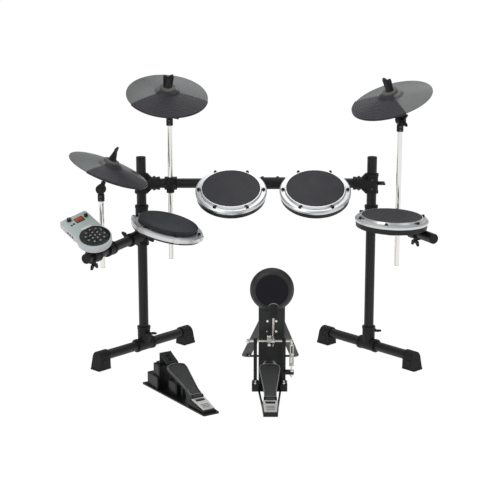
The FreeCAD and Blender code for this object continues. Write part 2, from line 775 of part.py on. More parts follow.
def tilter(side):
    """Upper half with stem, felts and nut. The pivot is the origin, the stem on +Z at its side."""
    neck_low = KNUCKLE_R + KNUCKLE_GAP
    under_bell = STEM_TO_EDGE + BOW_H + BELL_H - CYMBAL_T
    over_bell = under_bell + CYMBAL_T
    seat_low = under_bell - FELT_T - SEAT_T
    stem_top = over_bell + FELT_T + NUT_H
    shoulder = block(V(side - STEM_NECK_R, -STEM_NECK_R, KNUCKLE_R - STEM_R),
                     V(-RUN / 2, STEM_NECK_R, neck_low + KNUCKLE_GAP))
    foot_at = V(side, 0, 0)
    stem = fuse(knuckle_half(-1, RUN), shoulder, rod(foot_at + Z * neck_low, Z, STEM_NECK_R, STEM_NECK_H),
                rod(foot_at + Z * neck_low, Z, STEM_R, stem_top - neck_low),
                rod(foot_at + Z * seat_low, Z, SEAT_R, SEAT_T))
    low_felt = pipe(foot_at + Z * (under_bell - FELT_T), Z, FELT_LOW_R, STEM_R + FIT, FELT_T)
    top_felt = pipe(foot_at + Z * over_bell, Z, FELT_R, STEM_R + FIT, FELT_T)
    nut_spot = FreeCAD.Placement(foot_at + Z * (over_bell + FELT_T), FreeCAD.Rotation())
    return [stem, low_felt, top_felt] + placed([wing_nut()], nut_spot)


def rod_and_knuckle(name):
    """Chromed rod, and the black lower half of the tilter with its bolt."""
    foot_z, pivot_z = CYMBALS[name][0], CYMBALS[name][1]
    neck_top = -KNUCKLE_R - KNUCKLE_GAP
    lower = knuckle_half(1, FIT)
    lower.rotate(ORIGIN, X, 180)
    sleeve = pipe(V(0, 0, neck_top - NECK_SLEEVE_H), Z, NECK_SLEEVE_R, ROD_R + FIT, ROD_SET_IN)
    crown = rod(V(0, 0, neck_top - NECK_SLEEVE_H + ROD_SET_IN), Z, NECK_SLEEVE_R, NECK_SLEEVE_H - ROD_SET_IN)
    lower = fuse(lower, sleeve, crown)
    bolt_end = KNUCKLE_T + RUN
    bolt_start = -KNUCKLE_T - KNUCKLE_NUT_T
    screw = wing_screw(SCREW_STEM_R)
    screw = placed([screw], frame(V(bolt_end, 0, 0), Z, X))[0]
    bolt = fuse(rod(V(bolt_start, 0, 0), X, KNUCKLE_BOLT_R, bolt_end - bolt_start),
                rod(V(bolt_start, 0, 0), X, KNUCKLE_NUT_R, KNUCKLE_NUT_T), screw)
    top = placed([lower, bolt], frame(pivot(name), tilt_axis(CYMBALS[name][2]), Z))
    rod_top = pivot_z + neck_top - NECK_SLEEVE_H + ROD_SET_IN
    stand = pipe(rod_place(name) + V(0, 0, foot_z), Z, ROD_R, ROD_R - ROD_WALL, rod_top - foot_z)
    return [stand], top


def make_cymbal(name):
    normal, wedge_at, side = unit(CYMBALS[name][2]), CYMBALS[name][3], CYMBALS[name][4]
    spot = frame(pivot(name), tilt_axis(normal), normal)
    edge = spot.multVec(V(side, 0, STEM_TO_EDGE))
    facing = frame(edge, wedge_at, normal)
    box_facing = frame(edge, wedge_at * -1, normal)
    stand, knuckle = rod_and_knuckle(name)
    return {name + "_rod": stand, name + "_knuckle": knuckle,
            name + "_tilter": placed(tilter(side), spot),
            name + "_cymbal": placed([cymbal()], box_facing),
            name + "_rubber": placed([strike_wedge()], facing)}


# Drum pads, with the head's middle at the origin and the head facing +Z

def pad_sizes(name):
    if name == "snare":
        return {"head_r": SNARE_HEAD_R, "head_t": SNARE_HEAD_T, "hoop_r": SNARE_HOOP_R,
                "ledge": SNARE_LEDGE_DROP, "hoop_drop": SNARE_HOOP_DROP, "drop": SNARE_SHELL_DROP}
    return {"head_r": HEAD_R, "head_t": HEAD_T, "hoop_r": HOOP_R,
            "ledge": LEDGE_DROP, "hoop_drop": HOOP_DROP, "drop": SHELL_DROP}


def screw_spots(height):
    return [around(360.0 * i / SCREW_COUNT, PAD_SCREW_CIRCLE, height) for i in range(SCREW_COUNT)]


def pad_hoop(name):
    s = pad_sizes(name)
    inner = s["head_r"] + HEAD_GAP
    outer, ledge, drop = s["hoop_r"], -s["ledge"], -s["hoop_drop"]
    wall = outer - HOOP_T
    rim = [(outer - HOOP_BEVEL, ledge), (outer, ledge - HOOP_BEVEL), (outer, drop), (wall, drop),
           (wall, ledge - HOOP_BEVEL - HOOP_T / 2), (outer - HOOP_BEVEL - HOOP_T / 2, ledge - HOOP_T)]
    if name == "snare":
        lip = [(inner, ledge - HOOP_T), (inner, ledge)]
    else:
        lip = [(inner, ledge - HOOP_T), (inner, 0), (inner + HOOP_LIP, 0), (inner + HOOP_LIP * 2, ledge)]
    hoop = turned(lip + rim)
    if name == "snare":
        lugs = []
        for i in range(SCREW_COUNT):
            lug = block(V(wall + FIT, -LUG_WIDTH / 2, drop + FIT),
                        V(outer + LUG_OUT, LUG_WIDTH / 2, ledge - HOOP_T))
            lug.rotate(ORIGIN, Z, 360.0 * i / SCREW_COUNT)
            lugs.append(lug)
        hoop = fuse(hoop, *lugs)
    holes = [rod(spot, Z, PAD_SCREW_R + FIT, HOOP_T * 2) for spot in screw_spots(ledge - HOOP_T * 1.5)]
    return [hoop.cut(Part.makeCompound(holes))]


def pad_shell(name):
    s = pad_sizes(name)
    floor = -s["drop"]
    wall_r = s["hoop_r"] - HOOP_T - FIT
    wall_top = -s["ledge"] - HOOP_BEVEL - HOOP_T
    ring_r = s["head_r"] - FIT
    floor_top = floor + SHELL_WALL
    wall_low = -s["hoop_drop"] - SHELL_WALL
    tub = turned([(0, floor), (SHELL_FOOT_R, floor), (wall_r, wall_low), (wall_r, wall_top),
                  (wall_r - SHELL_WALL, wall_top), (wall_r - SHELL_WALL, wall_low),
                  (SHELL_FOOT_R - SHELL_WALL, floor_top), (ring_r, floor_top), (ring_r, -s["head_t"]),
                  (ring_r - RING_WALL, -s["head_t"]), (ring_r - RING_WALL, floor_top), (0, floor_top)])
    boss_top = -s["ledge"] - HOOP_T
    bosses = [rod(spot, Z, BOSS_R, boss_top - floor_top + FIT) for spot in screw_spots(floor_top - FIT)]
    jack = rod(V(JACK_OUT, 0, floor - JACK_H), Z, JACK_R, JACK_H + SHELL_WALL)
    tub = fuse(tub, jack, *bosses)
    deep = PAD_SCREW_DEEP
    bores = [rod(spot, Z, PAD_SCREW_R + FIT, deep * 2) for spot in screw_spots(boss_top - deep)]
    bores.append(rod(V(JACK_OUT, 0, floor - JACK_H), Z, JACK_BORE_R, JACK_H))
    pieces = [tub.cut(Part.makeCompound(bores))]
    ledge = -s["ledge"]
    for spot in screw_spots(ledge):
        shank = rod(spot - Z * (HOOP_T + deep), Z, PAD_SCREW_R, HOOP_T + deep)
        pieces.append(fuse(rod(spot, Z, PAD_SCREW_HEAD_R, PAD_SCREW_HEAD_H), shank))
    return pieces


def pad_head(name):
    s = pad_sizes(name)
    under = -s["head_t"]
    edge = min(HEAD_T, s["head_t"]) * 0.3
    skin = turned([(0, under), (s["head_r"], under), (s["head_r"], -edge), (s["head_r"] - edge, 0), (0, 0)])
    foam_r = s["head_r"] - FIT - RING_WALL - FIT
    foam = rod(V(0, 0, under - FOAM_T), Z, foam_r, FOAM_T)
    piezo = rod(V(0, 0, under - FOAM_T - PIEZO_T), Z, PIEZO_R, PIEZO_T)
    return [skin, foam, piezo]


def tom_normal():
    turn = math.radians(TOM_TILT)
    return V(0, -math.sin(turn), math.cos(turn))


def pad_place(name):
    """Middle of the head, its normal, and the tube that carries the pad."""
    if name in ("tom_left", "tom_right"):
        x = TOM_LEFT_X if name == "tom_left" else TOM_RIGHT_X
        return V(x, POST_Y - TOM_FORWARD, BAR_Z + TOM_RISE), tom_normal(), V(x, POST_Y, BAR_Z), X
    if name == "floor_tom":
        arm = arm_frame(1)
        along = RIGHT_ARM_LENGTH - FLOOR_TOM_FROM_END
        middle = arm.multVec(V(along, -FLOOR_TOM_SIDE, FLOOR_TOM_RISE))
        return middle, unit(FLOOR_TOM_NORMAL), arm.multVec(V(along, 0, 0)), arm.Rotation.multVec(X)
    bearing = around(SNARE_BEARING, SNARE_REACH, SNARE_Z)
    return bearing + V(POST_LEFT_X, POST_Y, 0), unit(SNARE_NORMAL), V(POST_LEFT_X, POST_Y, SNARE_MOUNT_Z), Z


def ring_on_tube(point, axis, width, outer):
    """Ring with a raised lip at both ends, turned so that no seam runs through its screw hole."""
    start = point - axis * (width / 2)
    lip = min(TEE_LIP_WIDTH, width / 4)
    ring = fuse(rod(start, axis, outer, width), rod(start, axis, outer + TEE_LIP, lip),
                rod(start + axis * (width - lip), axis, outer + TEE_LIP, lip))
    ring.rotate(point, axis, 45)
    return ring


def tube_bore(point, axis, width):
    bore = rod(point - axis * width, axis, TUBE_R + RUN, width * 2)
    bore.rotate(point, axis, 45)
    return bore


def pad_mount(name):
    middle, normal, point, axis = pad_place(name)
    under = middle - normal * pad_sizes(name)["drop"]
    hub = rod(under, normal * -1, MOUNT_HUB_R, MOUNT_HUB_H)
    neck_end = under - normal * MOUNT_NECK_LOW
    ring = ring_on_tube(point, axis, MOUNT_RING_WIDTH, MOUNT_RING_R)
    neck = rod(point, neck_end - point, MOUNT_NECK_R, (neck_end - point).Length)
    body = fuse(ring, hub, neck).cut(tube_bore(point, axis, MOUNT_RING_WIDTH))
    up = Z if name != "floor_tom" else Z * -1
    return screwed(body, point + up * MOUNT_RING_R, up, MOUNT_RING_R - TUBE_R - RUN, axis)


def snare_mount():
    middle, normal, point, axis = pad_place("snare")
    under = middle - normal * pad_sizes("snare")["drop"]
    hub = rod(under, normal * -1, MOUNT_HUB_R, MOUNT_HUB_H)
    rod_level = under - normal * MOUNT_NECK_LOW
    out = unit(V(rod_level.x - point.x, rod_level.y - point.y, 0))
    start = V(point.x, point.y, rod_level.z)
    span = (rod_level - start).Length
    boss = rod(start, out, SNARE_BOSS_R, SNARE_BOSS_REACH)
    arm_start = start + out * (TUBE_R + TEE_WEB)
    arm = rod(arm_start, out, SNARE_ROD_R, span - TUBE_R - TEE_WEB + SNARE_ROD_PAST)
    hole = rod(arm_start, out, SNARE_ROD_R + FIT, span + SNARE_ROD_PAST)
    ring = fuse(ring_on_tube(point, axis, TEE_HEIGHT, TEE_R), boss)
    ring = ring.cut(tube_bore(point, axis, TEE_HEIGHT)).cut(hole)
    back = V(0, 1, 0)
    ring, screw = screwed(ring, point + back * TEE_R, back, TEE_R - TUBE_R - RUN, Z)
    return [ring, screw, arm, hub.cut(hole)]


def make_pad(name):
    middle, normal = pad_place(name)[:2]
    turn = {"floor_tom": FLOOR_TOM_TURN, "snare": SNARE_TURN}.get(name, 0.0)
    spot = frame(middle, around(turn, 1.0, 0), normal)
    mount = snare_mount() if name == "snare" else pad_mount(name)
    return {name + "_mount": mount, name + "_shell": placed(pad_shell(name), spot),
            name + "_hoop": placed(pad_hoop(name), spot), name + "_head": placed(pad_head(name), spot)}


# Sound module, face up on +Z with its display end on +Y

def module_frame():
    return frame(MODULE_AT, MODULE_ACROSS, MODULE_NORMAL)


def module_outline(inset, low, high):
    """Rectangle with a round end, between two heights."""
    half = MODULE_HALF_WIDTH - inset
    box = block(V(-half, MODULE_ROUND_AT, low), V(half, MODULE_TOP_END - inset, high))
    corners = [edge for edge in box.Edges
               if edge.Vertexes[0].Y > 0 < edge.Vertexes[1].Y and edge.Vertexes[0].Z != edge.Vertexes[1].Z]
    box = box.makeFillet(MODULE_CORNER_R - inset, corners)
    return fuse(box, rod(V(0, MODULE_ROUND_AT, low), Z, MODULE_ROUND_R - inset, high - low))


def key_spots():
    spots = list(SIDE_KEYS)
    for radius, count in zip(KEY_RING_R, KEY_RING_COUNT):
        for i in range(count):
            spots.append(KEYPAD_AT + around(360.0 * i / count + 90, radius, 0))
    return spots


def board_posts():
    inset = BOARD_POST_R * 1.5
    across = (inset - BOARD_HALF, BOARD_HALF - inset)
    along = (BOARD_FROM + inset, BOARD_TO - inset)
    return [V(x, y, 0) for x in across for y in along]


def module_case():
    floor = -MODULE_T
    hollow_low = floor + MODULE_WALL
    ledge = MODULE_WALL + FACE_LEDGE
    shell = module_outline(0, floor, 0).cut(module_outline(MODULE_WALL, -FACE_T, FACE_T))
    shell = shell.cut(module_outline(ledge, hollow_low, 0))
    bulge = block(V(-BULGE_HALF, BULGE_FROM, floor - BULGE_LOW), V(BULGE_HALF, BULGE_TO, floor))
    low_edges = [edge for edge in bulge.Edges
                 if edge.Vertexes[0].Z < floor - MODULE_WALL or edge.Vertexes[1].Z < floor - MODULE_WALL]
    bulge = bulge.makeFillet(MODULE_EDGE_R, low_edges)
    boss = rod(V(0, 0, floor - MODULE_BOSS_H), Z, MODULE_BOSS_R, MODULE_BOSS_H)
    post_h = MODULE_T - BOARD_DROP - BOARD_T - MODULE_WALL
    posts = [rod(spot + V(0, 0, hollow_low), Z, BOARD_POST_R, post_h) for spot in board_posts()]
    port_low = -MODULE_T / 2 - PORT_HEIGHT / 2
    port = block(V(-MODULE_HALF_WIDTH * 2, PORT_AT_Y - PORT_WIDTH / 2, port_low),
                 V(ledge - MODULE_HALF_WIDTH, PORT_AT_Y + PORT_WIDTH / 2, port_low + PORT_HEIGHT))
    case = fuse(shell, bulge, boss, *posts).cut(port)
    board = block(V(-BOARD_HALF, BOARD_FROM, -BOARD_DROP - BOARD_T), V(BOARD_HALF, BOARD_TO, -BOARD_DROP))
    return placed([case, board], module_frame())


def module_mount():
    """Black clamp between the left arm and the boss under the case."""
    arm = arm_frame(-1)
    point, axis = arm.multVec(V(MODULE_ARM_ALONG, 0, 0)), arm.Rotation.multVec(X)
    top = module_frame().multVec(V(0, 0, -MODULE_T - MODULE_BOSS_H))
    normal = unit(MODULE_NORMAL)
    hub = rod(top, normal * -1, MODULE_BOSS_R, MODULE_BOSS_H)
    neck_end = top - normal * (MODULE_BOSS_H / 2)
    neck = rod(point, neck_end - point, MOUNT_NECK_R, (neck_end - point).Length)
    neck = neck.cut(rod(top, normal, MODULE_BOSS_R * 2, MODULE_T))
    ring = ring_on_tube(point, axis, MOUNT_RING_WIDTH, MOUNT_RING_R)
    body = fuse(ring, hub, neck).cut(tube_bore(point, axis, MOUNT_RING_WIDTH))
    down = Z * -1
    return screwed(body, point + down * MOUNT_RING_R, down, MOUNT_RING_R - TUBE_R - RUN, axis)


def module_face():
    sheet = module_outline(MODULE_WALL + FIT, -FACE_T, 0)
    window = block(V(LCD_AT.x - LCD_WIDTH / 2, LCD_AT.y - LCD_HEIGHT / 2, -FACE_T),
                   V(LCD_AT.x + LCD_WIDTH / 2, LCD_AT.y + LCD_HEIGHT / 2, 0))
    pad_hole = rod(KEYPAD_AT + V(0, 0, -KEYPAD_T), Z, KEYPAD_R + FIT, KEYPAD_T)
    holes = [rod(spot + V(0, 0, -FACE_T), Z, KEY_R + RUN, FACE_T * 2) for spot in key_spots()]
    shafts = [rod(spot + V(0, 0, -FACE_T), Z, KNOB_SHAFT_R + RUN, FACE_T) for spot in (VOLUME_AT, VALUE_AT)]
    sheet = sheet.cut(Part.makeCompound([window, pad_hole])).cut(Part.makeCompound(holes + shafts))
    keypad = rod(KEYPAD_AT + V(0, 0, -KEYPAD_T), Z, KEYPAD_R, KEYPAD_T).cut(Part.makeCompound(holes))
    glass = block(V(LCD_AT.x - LCD_WIDTH / 2 + FIT, LCD_AT.y - LCD_HEIGHT / 2 + FIT, -FACE_T),
                  V(LCD_AT.x + LCD_WIDTH / 2 - FIT, LCD_AT.y + LCD_HEIGHT / 2 - FIT, -FACE_T / 2))
    return placed([sheet, keypad, glass], module_frame())


def module_knob(at, radius, height):
    cap = rod(at + V(0, 0, RUN), Z, radius, height)
    cap = cap.makeFillet(radius * 0.2, [edge for edge in cap.Edges if edge.BoundBox.ZMin > height / 2])
    mark = block(at + V(-radius * 0.1, radius * 0.3, height),
                 at + V(radius * 0.1, radius * 1.1, height + RUN * 2))
    shaft = rod(at + V(0, 0, -KNOB_SHAFT_DEEP), Z, KNOB_SHAFT_R, KNOB_SHAFT_DEEP + RUN)
    return placed([fuse(cap.cut(mark), shaft)], module_frame())


def module_keys():
    keys = [rod(spot + V(0, 0, -KEY_DEEP), Z, KEY_R, KEY_DEEP + KEY_RISE) for spot in key_spots()]
    return placed(keys, module_frame())


def make_module():
    return {"module_case": module_case(), "module_face": module_face(), "module_mount": module_mount(),
            "volume_knob": module_knob(VOLUME_AT, VOLUME_R, VOLUME_H),
            "value_dial": module_knob(VALUE_AT, VALUE_R, VALUE_H), "module_buttons": module_keys()}


# Kick column and pad

def kick_column():
    half = COLUMN_WIDTH / 2
    back = COLUMN_FRONT + COLUMN_DEPTH
    outer = block(V(KICK_X - half, COLUMN_FRONT, PLATE_T), V(KICK_X + half, back, COLUMN_TOP))
    front_edges = [edge for edge in outer.Edges
                   if edge.BoundBox.YMax < COLUMN_FRONT + FIT and edge.BoundBox.ZLength > FIT]
    outer = outer.makeFillet(COLUMN_CORNER_R, front_edges)
    inner = block(V(KICK_X - half + COLUMN_WALL, COLUMN_FRONT + COLUMN_WALL, 0),
                  V(KICK_X + half - COLUMN_WALL, back, COLUMN_TOP * 2))
    holes = [rod(spot, Y, COLUMN_SCREW_R + FIT, COLUMN_WALL * 2) for spot in column_screw_spots()]
    return outer.cut(inner).cut(Part.makeCompound(holes))


def column_screw_spots():
    across, up = COLUMN_SCREW_GRID
    corners = ((-1, -1), (-1, 1), (1, -1), (1, 1))
    return [V(KICK_X + x * across / 2, COLUMN_FRONT, COLUMN_SCREW_Z + z * up / 2) for x, z in corners]


def column_screws():
    screws = []
    for spot in column_screw_spots():
        head = rod(spot, Y * -1, COLUMN_SCREW_R * 2, COLUMN_SCREW_R)
        screws.append(fuse(head, rod(spot, Y, COLUMN_SCREW_R, COLUMN_WALL * 2)))
    return screws


def kick_pad_frame():
    return frame(V(KICK_X, COLUMN_FRONT, KICK_PAD_Z), X, Y * -1)


def kick_pad_shell():
    cup = turned([(0, 0), (KICK_PAD_R, 0), (KICK_PAD_R, KICK_RIM_BACK),
                  (KICK_PAD_R - KICK_RIM_BEVEL, KICK_PAD_T - KICK_RIM_BEVEL / 2),
                  (KICK_FACE_R + KICK_RIM_BEVEL / 2, KICK_PAD_T),
                  (KICK_FACE_R, KICK_PAD_T - KICK_FACE_RECESS), (KICK_FACE_R, KICK_BACK_T), (0, KICK_BACK_T)])
    return placed([cup], kick_pad_frame())


def kick_pad_face():
    face_top = KICK_PAD_T - KICK_FACE_RECESS
    foam = rod(V(0, 0, KICK_BACK_T + PIEZO_T), Z, KICK_FACE_R - FIT, face_top - KICK_BACK_T - PIEZO_T)
    piezo = rod(V(0, 0, KICK_BACK_T), Z, PIEZO_R, PIEZO_T)
    return placed([foam, piezo], kick_pad_frame())


def brace_frame(side):
    """Leg of the brace, its middle line on +X from the column down to the rounded foot."""
    top = V(KICK_X + side * BRACE_TOP_HALF, COLUMN_FRONT + COLUMN_WALL, BRACE_TOP_Z)
    foot_end = V(KICK_X + side * BRACE_FOOT_HALF, BRACE_FOOT_Y, BRACE_FOOT_Z)
    along = unit(foot_end - top)
    facing = along.cross(X * -1)
    return frame(top, along, facing), (foot_end - top).Length


def spike_spot(side):
    """Seat of a leg's spike screw, in the leg's own frame."""
    length = brace_frame(side)[1]
    return V(length - SPIKE_INSET, side * SPIKE_INSET, BRACE_T / 2)


def brace_leg(side):
    spot, length = brace_frame(side)
    half = BRACE_WIDTH / 2
    bar = block(V(-BRACE_WIDTH, -half, -BRACE_T / 2), V(length, half, BRACE_T / 2))
    end = rod(V(length, 0, -BRACE_T / 2), Z, half, BRACE_T)
    hole = rod(spike_spot(side) - Z * (BRACE_T * 2), Z, SPIKE_R + FIT, BRACE_T * 3)
    return placed([fuse(bar, end).cut(hole)], spot)[0]


def kick_brace():
    """Welded brace: plate inside the column, two flat legs and the cross rod at their feet."""
    inside = COLUMN_FRONT + COLUMN_WALL
    half = COLUMN_WIDTH / 2 - COLUMN_WALL - RUN
    sheet = block(V(KICK_X - half, inside, BRACE_PLATE_LOW),
                  V(KICK_X + half, inside + BRACE_T, BRACE_PLATE_HIGH))
    holes = [rod(at, Y, COLUMN_SCREW_R + FIT, COLUMN_WALL + BRACE_T) for at in column_screw_spots()]
    sheet = sheet.cut(Part.makeCompound(holes))
    spot, length = brace_frame(1)
    low = spot.multVec(V(length, 0, -BRACE_T / 2 - CROSS_ROD_R * 0.6))
    cross = rod(V(KICK_X - BRACE_FOOT_HALF, low.y, low.z), X, CROSS_ROD_R, BRACE_FOOT_HALF * 2)
    wide = COLUMN_WIDTH * 2
    floor_cut = block(V(KICK_X - wide, COLUMN_FRONT, -wide), V(KICK_X + wide, BRACE_FOOT_Y * 2, 0))
    front_cut = block(V(KICK_X - wide, inside - wide, 0), V(KICK_X + wide, inside + BRACE_T / 2, COLUMN_TOP))
    legs = [brace_leg(side).cut(floor_cut).cut(front_cut) for side in (-1, 1)]
    return [fuse(sheet, legs[0], legs[1], cross)]


def brace_spikes():
    spikes = []
    for side in (-1, 1):
        spot, length = brace_frame(side)
        seat = spike_spot(side)
        shank = rod(seat - Z * (BRACE_T * 2), Z, SPIKE_R, BRACE_T * 2)
        spikes += placed([fuse(shank, rod(seat, Z, SPIKE_HEAD_R, SPIKE_HEAD_H))], spot)
    return spikes


# Kick pedal

def frame_post(side):
    """Upright with a rounded head round the axle and a foot block."""
    x = PEDAL_X + side * FRAME_HALF
    half_w, half_d = FRAME_POST_WIDTH / 2, FRAME_POST_DEPTH / 2
    post = block(V(x - half_w, FRAME_Y - half_d, PLATE_T), V(x + half_w, FRAME_Y + half_d, AXLE_Z))
    head = rod(V(x - half_w, FRAME_Y, AXLE_Z), X, FRAME_HEAD_R, FRAME_POST_WIDTH)
    foot_block = block(V(x - BLOCK_WIDTH / 2, FRAME_Y - BLOCK_DEPTH / 2, PLATE_T),
                       V(x + BLOCK_WIDTH / 2, FRAME_Y + BLOCK_DEPTH / 2, PLATE_T + BLOCK_HEIGHT))
    top_edges = [edge for edge in foot_block.Edges if edge.BoundBox.ZMin > BLOCK_HEIGHT]
    foot_block = foot_block.makeChamfer(BLOCK_HEIGHT * 0.2, top_edges)
    parts = [post, head, foot_block]
    if side > 0:
        parts.append(spring_bracket())
    body = fuse(*parts)
    body = body.cut(rod(V(x - FRAME_POST_WIDTH, FRAME_Y, AXLE_Z), X, AXLE_R + RUN, FRAME_POST_WIDTH * 2))
    if side > 0:
        stud = crank_pin()
        body = body.cut(rod(V(stud.x, stud.y, 0), Z, STUD_R + FIT, AXLE_Z / 2))
    return body


def spring_bracket():
    pin = crank_pin()
    inner = PEDAL_X + FRAME_HALF
    return block(V(inner, pin.y - SPRING_CUP_R, BRACKET_Z),
                 V(pin.x + SPRING_CUP_R, FRAME_Y + FRAME_POST_DEPTH / 2, BRACKET_Z + BRACKET_T))


def crank_pin():
    """Middle of the spring's eye at the end of the crank."""
    drop = math.radians(CRANK_DROP)
    return V(PEDAL_X + AXLE_RIGHT - CRANK_T / 2, FRAME_Y - CRANK_REACH * math.cos(drop),
             AXLE_Z - CRANK_REACH * math.sin(drop))


def pedal_base():
    """Floor plate under the posts, heel base and the two side bars between them."""
    half = FRAME_HALF + BLOCK_WIDTH / 2
    back = block(V(PEDAL_X - half, FRAME_Y - BLOCK_DEPTH / 2, 0),
                 V(PEDAL_X + half, FRAME_Y + BLOCK_DEPTH / 2, PLATE_T))
    column_half = COLUMN_WIDTH / 2
    tongue = block(V(KICK_X - column_half, FRAME_Y, 0), V(KICK_X + column_half, BASE_BACK, PLATE_T))
    heel = heel_base(PEDAL_X, HEEL_END, HINGE_Y, HINGE_Z)
    bars = []
    for side in (-1, 1):
        start = V(PEDAL_X + side * (HEEL_HALF - SIDE_BAR_R), HINGE_Y - HINGE_R, SIDE_BAR_R)
        reach = side * (FRAME_HALF - BLOCK_WIDTH / 2)
        end = V(PEDAL_X + reach, FRAME_Y - BLOCK_DEPTH / 2 + SIDE_BAR_R, SIDE_BAR_R)
        bars.append(rod(start, end - start, SIDE_BAR_R, (end - start).Length))
    blocks = block(V(PEDAL_X - half, FRAME_Y - BLOCK_DEPTH / 2, PLATE_T),
                   V(PEDAL_X + half, FRAME_Y, SIDE_BAR_R * 3))
    base = fuse(back, tongue, heel, *bars).cut(blocks)
    return fuse(base, *hinge_lugs(PEDAL_X, HINGE_Y, HINGE_Z, HEEL_FRONT_T / 2)).cut(
        rod(V(PEDAL_X - HEEL_HALF, HINGE_Y, HINGE_Z), X, HINGE_PIN_R + FIT, HEEL_HALF * 2))


def hinge_lugs(x, y, z, low):
    """Two ears beside the footboard's knuckle, standing on the heel base."""
    lugs = []
    for side in (-1, 1):
        near = x + side * (HINGE_KNUCKLE_HALF + RUN)
        far = near + side * HINGE_LUG_T
        left, right = sorted((near, far))
        ear = rod(V(left, y, z), X, HINGE_R, HINGE_LUG_T)
        lugs.append(fuse(ear, block(V(left, y - HINGE_R, low), V(right, y + HINGE_R, z))))
    return lugs


def hinge_pin(x, y, z):
    half = HINGE_KNUCKLE_HALF + RUN + HINGE_LUG_T
    return rod(V(x - half, y, z), X, HINGE_PIN_R, half * 2)


def heel_base(x, front, hinge_y, hinge_z):
    """Heel block that rises from its front to the hinge and is cut low under the hinge."""
    back = hinge_y - HINGE_R - RUN
    end = hinge_y + HINGE_R
    shelf = hinge_z - HINGE_R - HINGE_UNDER_GAP
    side = [(front, 0), (end, 0), (end, shelf), (back, shelf), (back, HEEL_BACK_T), (front, HEEL_FRONT_T)]
    corners = [V(x - HEEL_HALF, y, z) for y, z in side]
    wedge = Part.Face(Part.makePolygon(corners + corners[:1])).extrude(V(HEEL_HALF * 2, 0, 0))
    right = [(HEEL_HALF - HEEL_TAPER, front), (HEEL_HALF, back), (HEEL_HALF, end)]
    left = [(-half, y) for half, y in reversed(right)]
    heel = wedge.common(plate([(x + half, y) for half, y in right + left], 0, HEEL_BACK_T))
    slopes = [e for e in heel.Edges if e.BoundBox.YLength > HINGE_R < e.BoundBox.ZLength]
    return heel.makeChamfer(HEEL_CHAMFER, slopes)


def heel_plate(x, front, hinge_y):
    """Ribbed metal plate with a slot, laid on the slope of the heel."""
    run = hinge_y - HINGE_R - RUN - front
    rise = HEEL_BACK_T - HEEL_FRONT_T
    length = math.hypot(run, rise)
    front_half = HEEL_PLATE_HALF - HEEL_TAPER
    right = [(front_half, HEEL_PLATE_MARGIN), (HEEL_PLATE_HALF, length)]
    sheet = plate(right + [(-half, y) for half, y in reversed(right)], 0, HEEL_PLATE_T)
    slot_end = length - HEEL_SLOT_EDGE
    slot_start = slot_end - HEEL_SLOT_LENGTH
    slot = block(V(-HEEL_SLOT_HALF, slot_start, 0), V(HEEL_SLOT_HALF, slot_end, HEEL_PLATE_T))
    half = front_half * 0.7
    ribs = []
    for i in range(HEEL_RIBS):
        y = HEEL_PLATE_MARGIN + HEEL_RIB_PITCH * (i + 0.6)
        ribs.append(block(V(-half, y, 0), V(half, y + HEEL_RIB_WIDTH, HEEL_PLATE_T + HEEL_RIB_H)))
    slope = FreeCAD.Rotation(X, math.degrees(math.atan2(rise, run)))
    return placed([fuse(sheet, *ribs).cut(slot)], FreeCAD.Placement(V(x, front, HEEL_FRONT_T), slope))[0]


def footboard_blank():
    """Board along +Y from its hinge on X, flat on Z, with a raised rim and a broad crowned toe."""
    heel_end = HINGE_R + RUN

    def slab(inset, low, high):
        heel_half, toe_half = BOARD_HEEL_HALF - inset, BOARD_TOE_HALF - inset
        right = [V(heel_half, heel_end + inset, low), V(heel_half, BOARD_WAIST, low),
                 V(toe_half, BOARD_SHOULDER, low),
                 V(toe_half - BOARD_TOE_IN, BOARD_LENGTH - BOARD_TOE_CROWN - inset, low)]
        left = [V(-p.x, p.y, p.z) for p in reversed(right)]
        crown = Part.Arc(right[-1], V(0, BOARD_LENGTH - inset, low), left[0]).toShape()
        sides = Part.makePolygon(left + right).Edges
        return Part.Face(Part.Wire(sides + [crown])).extrude(V(0, 0, high - low))

    top = BOARD_THICK / 2
    board = slab(0, -top, top + BOARD_RIM_H).cut(slab(BOARD_RIM, top, top + BOARD_RIM_H * 2))
    knuckle = rod(V(-HINGE_KNUCKLE_HALF, 0, 0), X, HINGE_R, HINGE_KNUCKLE_HALF * 2)
    tongue = block(V(-HINGE_KNUCKLE_HALF, 0, -top), V(HINGE_KNUCKLE_HALF, HINGE_R * 2, top))
    pin_bore = rod(V(-BOARD_TOE_HALF, 0, 0), X, HINGE_PIN_R + RUN, BOARD_TOE_HALF * 2)
    return fuse(board, knuckle, tongue).cut(pin_bore)


def kick_board_frame():
    turn = FreeCAD.Rotation(X, KICK_BOARD_ANGLE)
    return FreeCAD.Placement(V(PEDAL_X, HINGE_Y, HINGE_Z), turn)


def kick_footboard():
    """Footboard with a tapered tongue behind its toe and two lugs for the strap's pin."""
    x = STRAP_X - PEDAL_X
    under = -BOARD_THICK / 2
    right = [(TONGUE_FOOT_HALF, TONGUE_FROM), (TONGUE_TIP_HALF, TONGUE_TO)]
    tongue = plate(right + [(-half, y) for half, y in reversed(right)], under, 0)
    lugs = []
    for side in (-1, 1):
        near = x + side * (STRAP_HALF + RUN)
        left, end = sorted((near, near + side * STRAP_LUG_T))
        ear = rod(V(left, STRAP_ALONG, STRAP_RISE), X, STRAP_LUG_R, STRAP_LUG_T)
        stand = block(V(left, STRAP_ALONG - STRAP_LUG_R, under),
                      V(end, STRAP_ALONG + STRAP_LUG_R, STRAP_RISE))
        lugs.append(fuse(ear, stand))
    hole = rod(V(x - STRAP_HALF * 3, STRAP_ALONG, STRAP_RISE), X, STRAP_PIN_R + RUN, STRAP_HALF * 6)
    return placed([fuse(footboard_blank(), tongue, *lugs).cut(hole)], kick_board_frame())


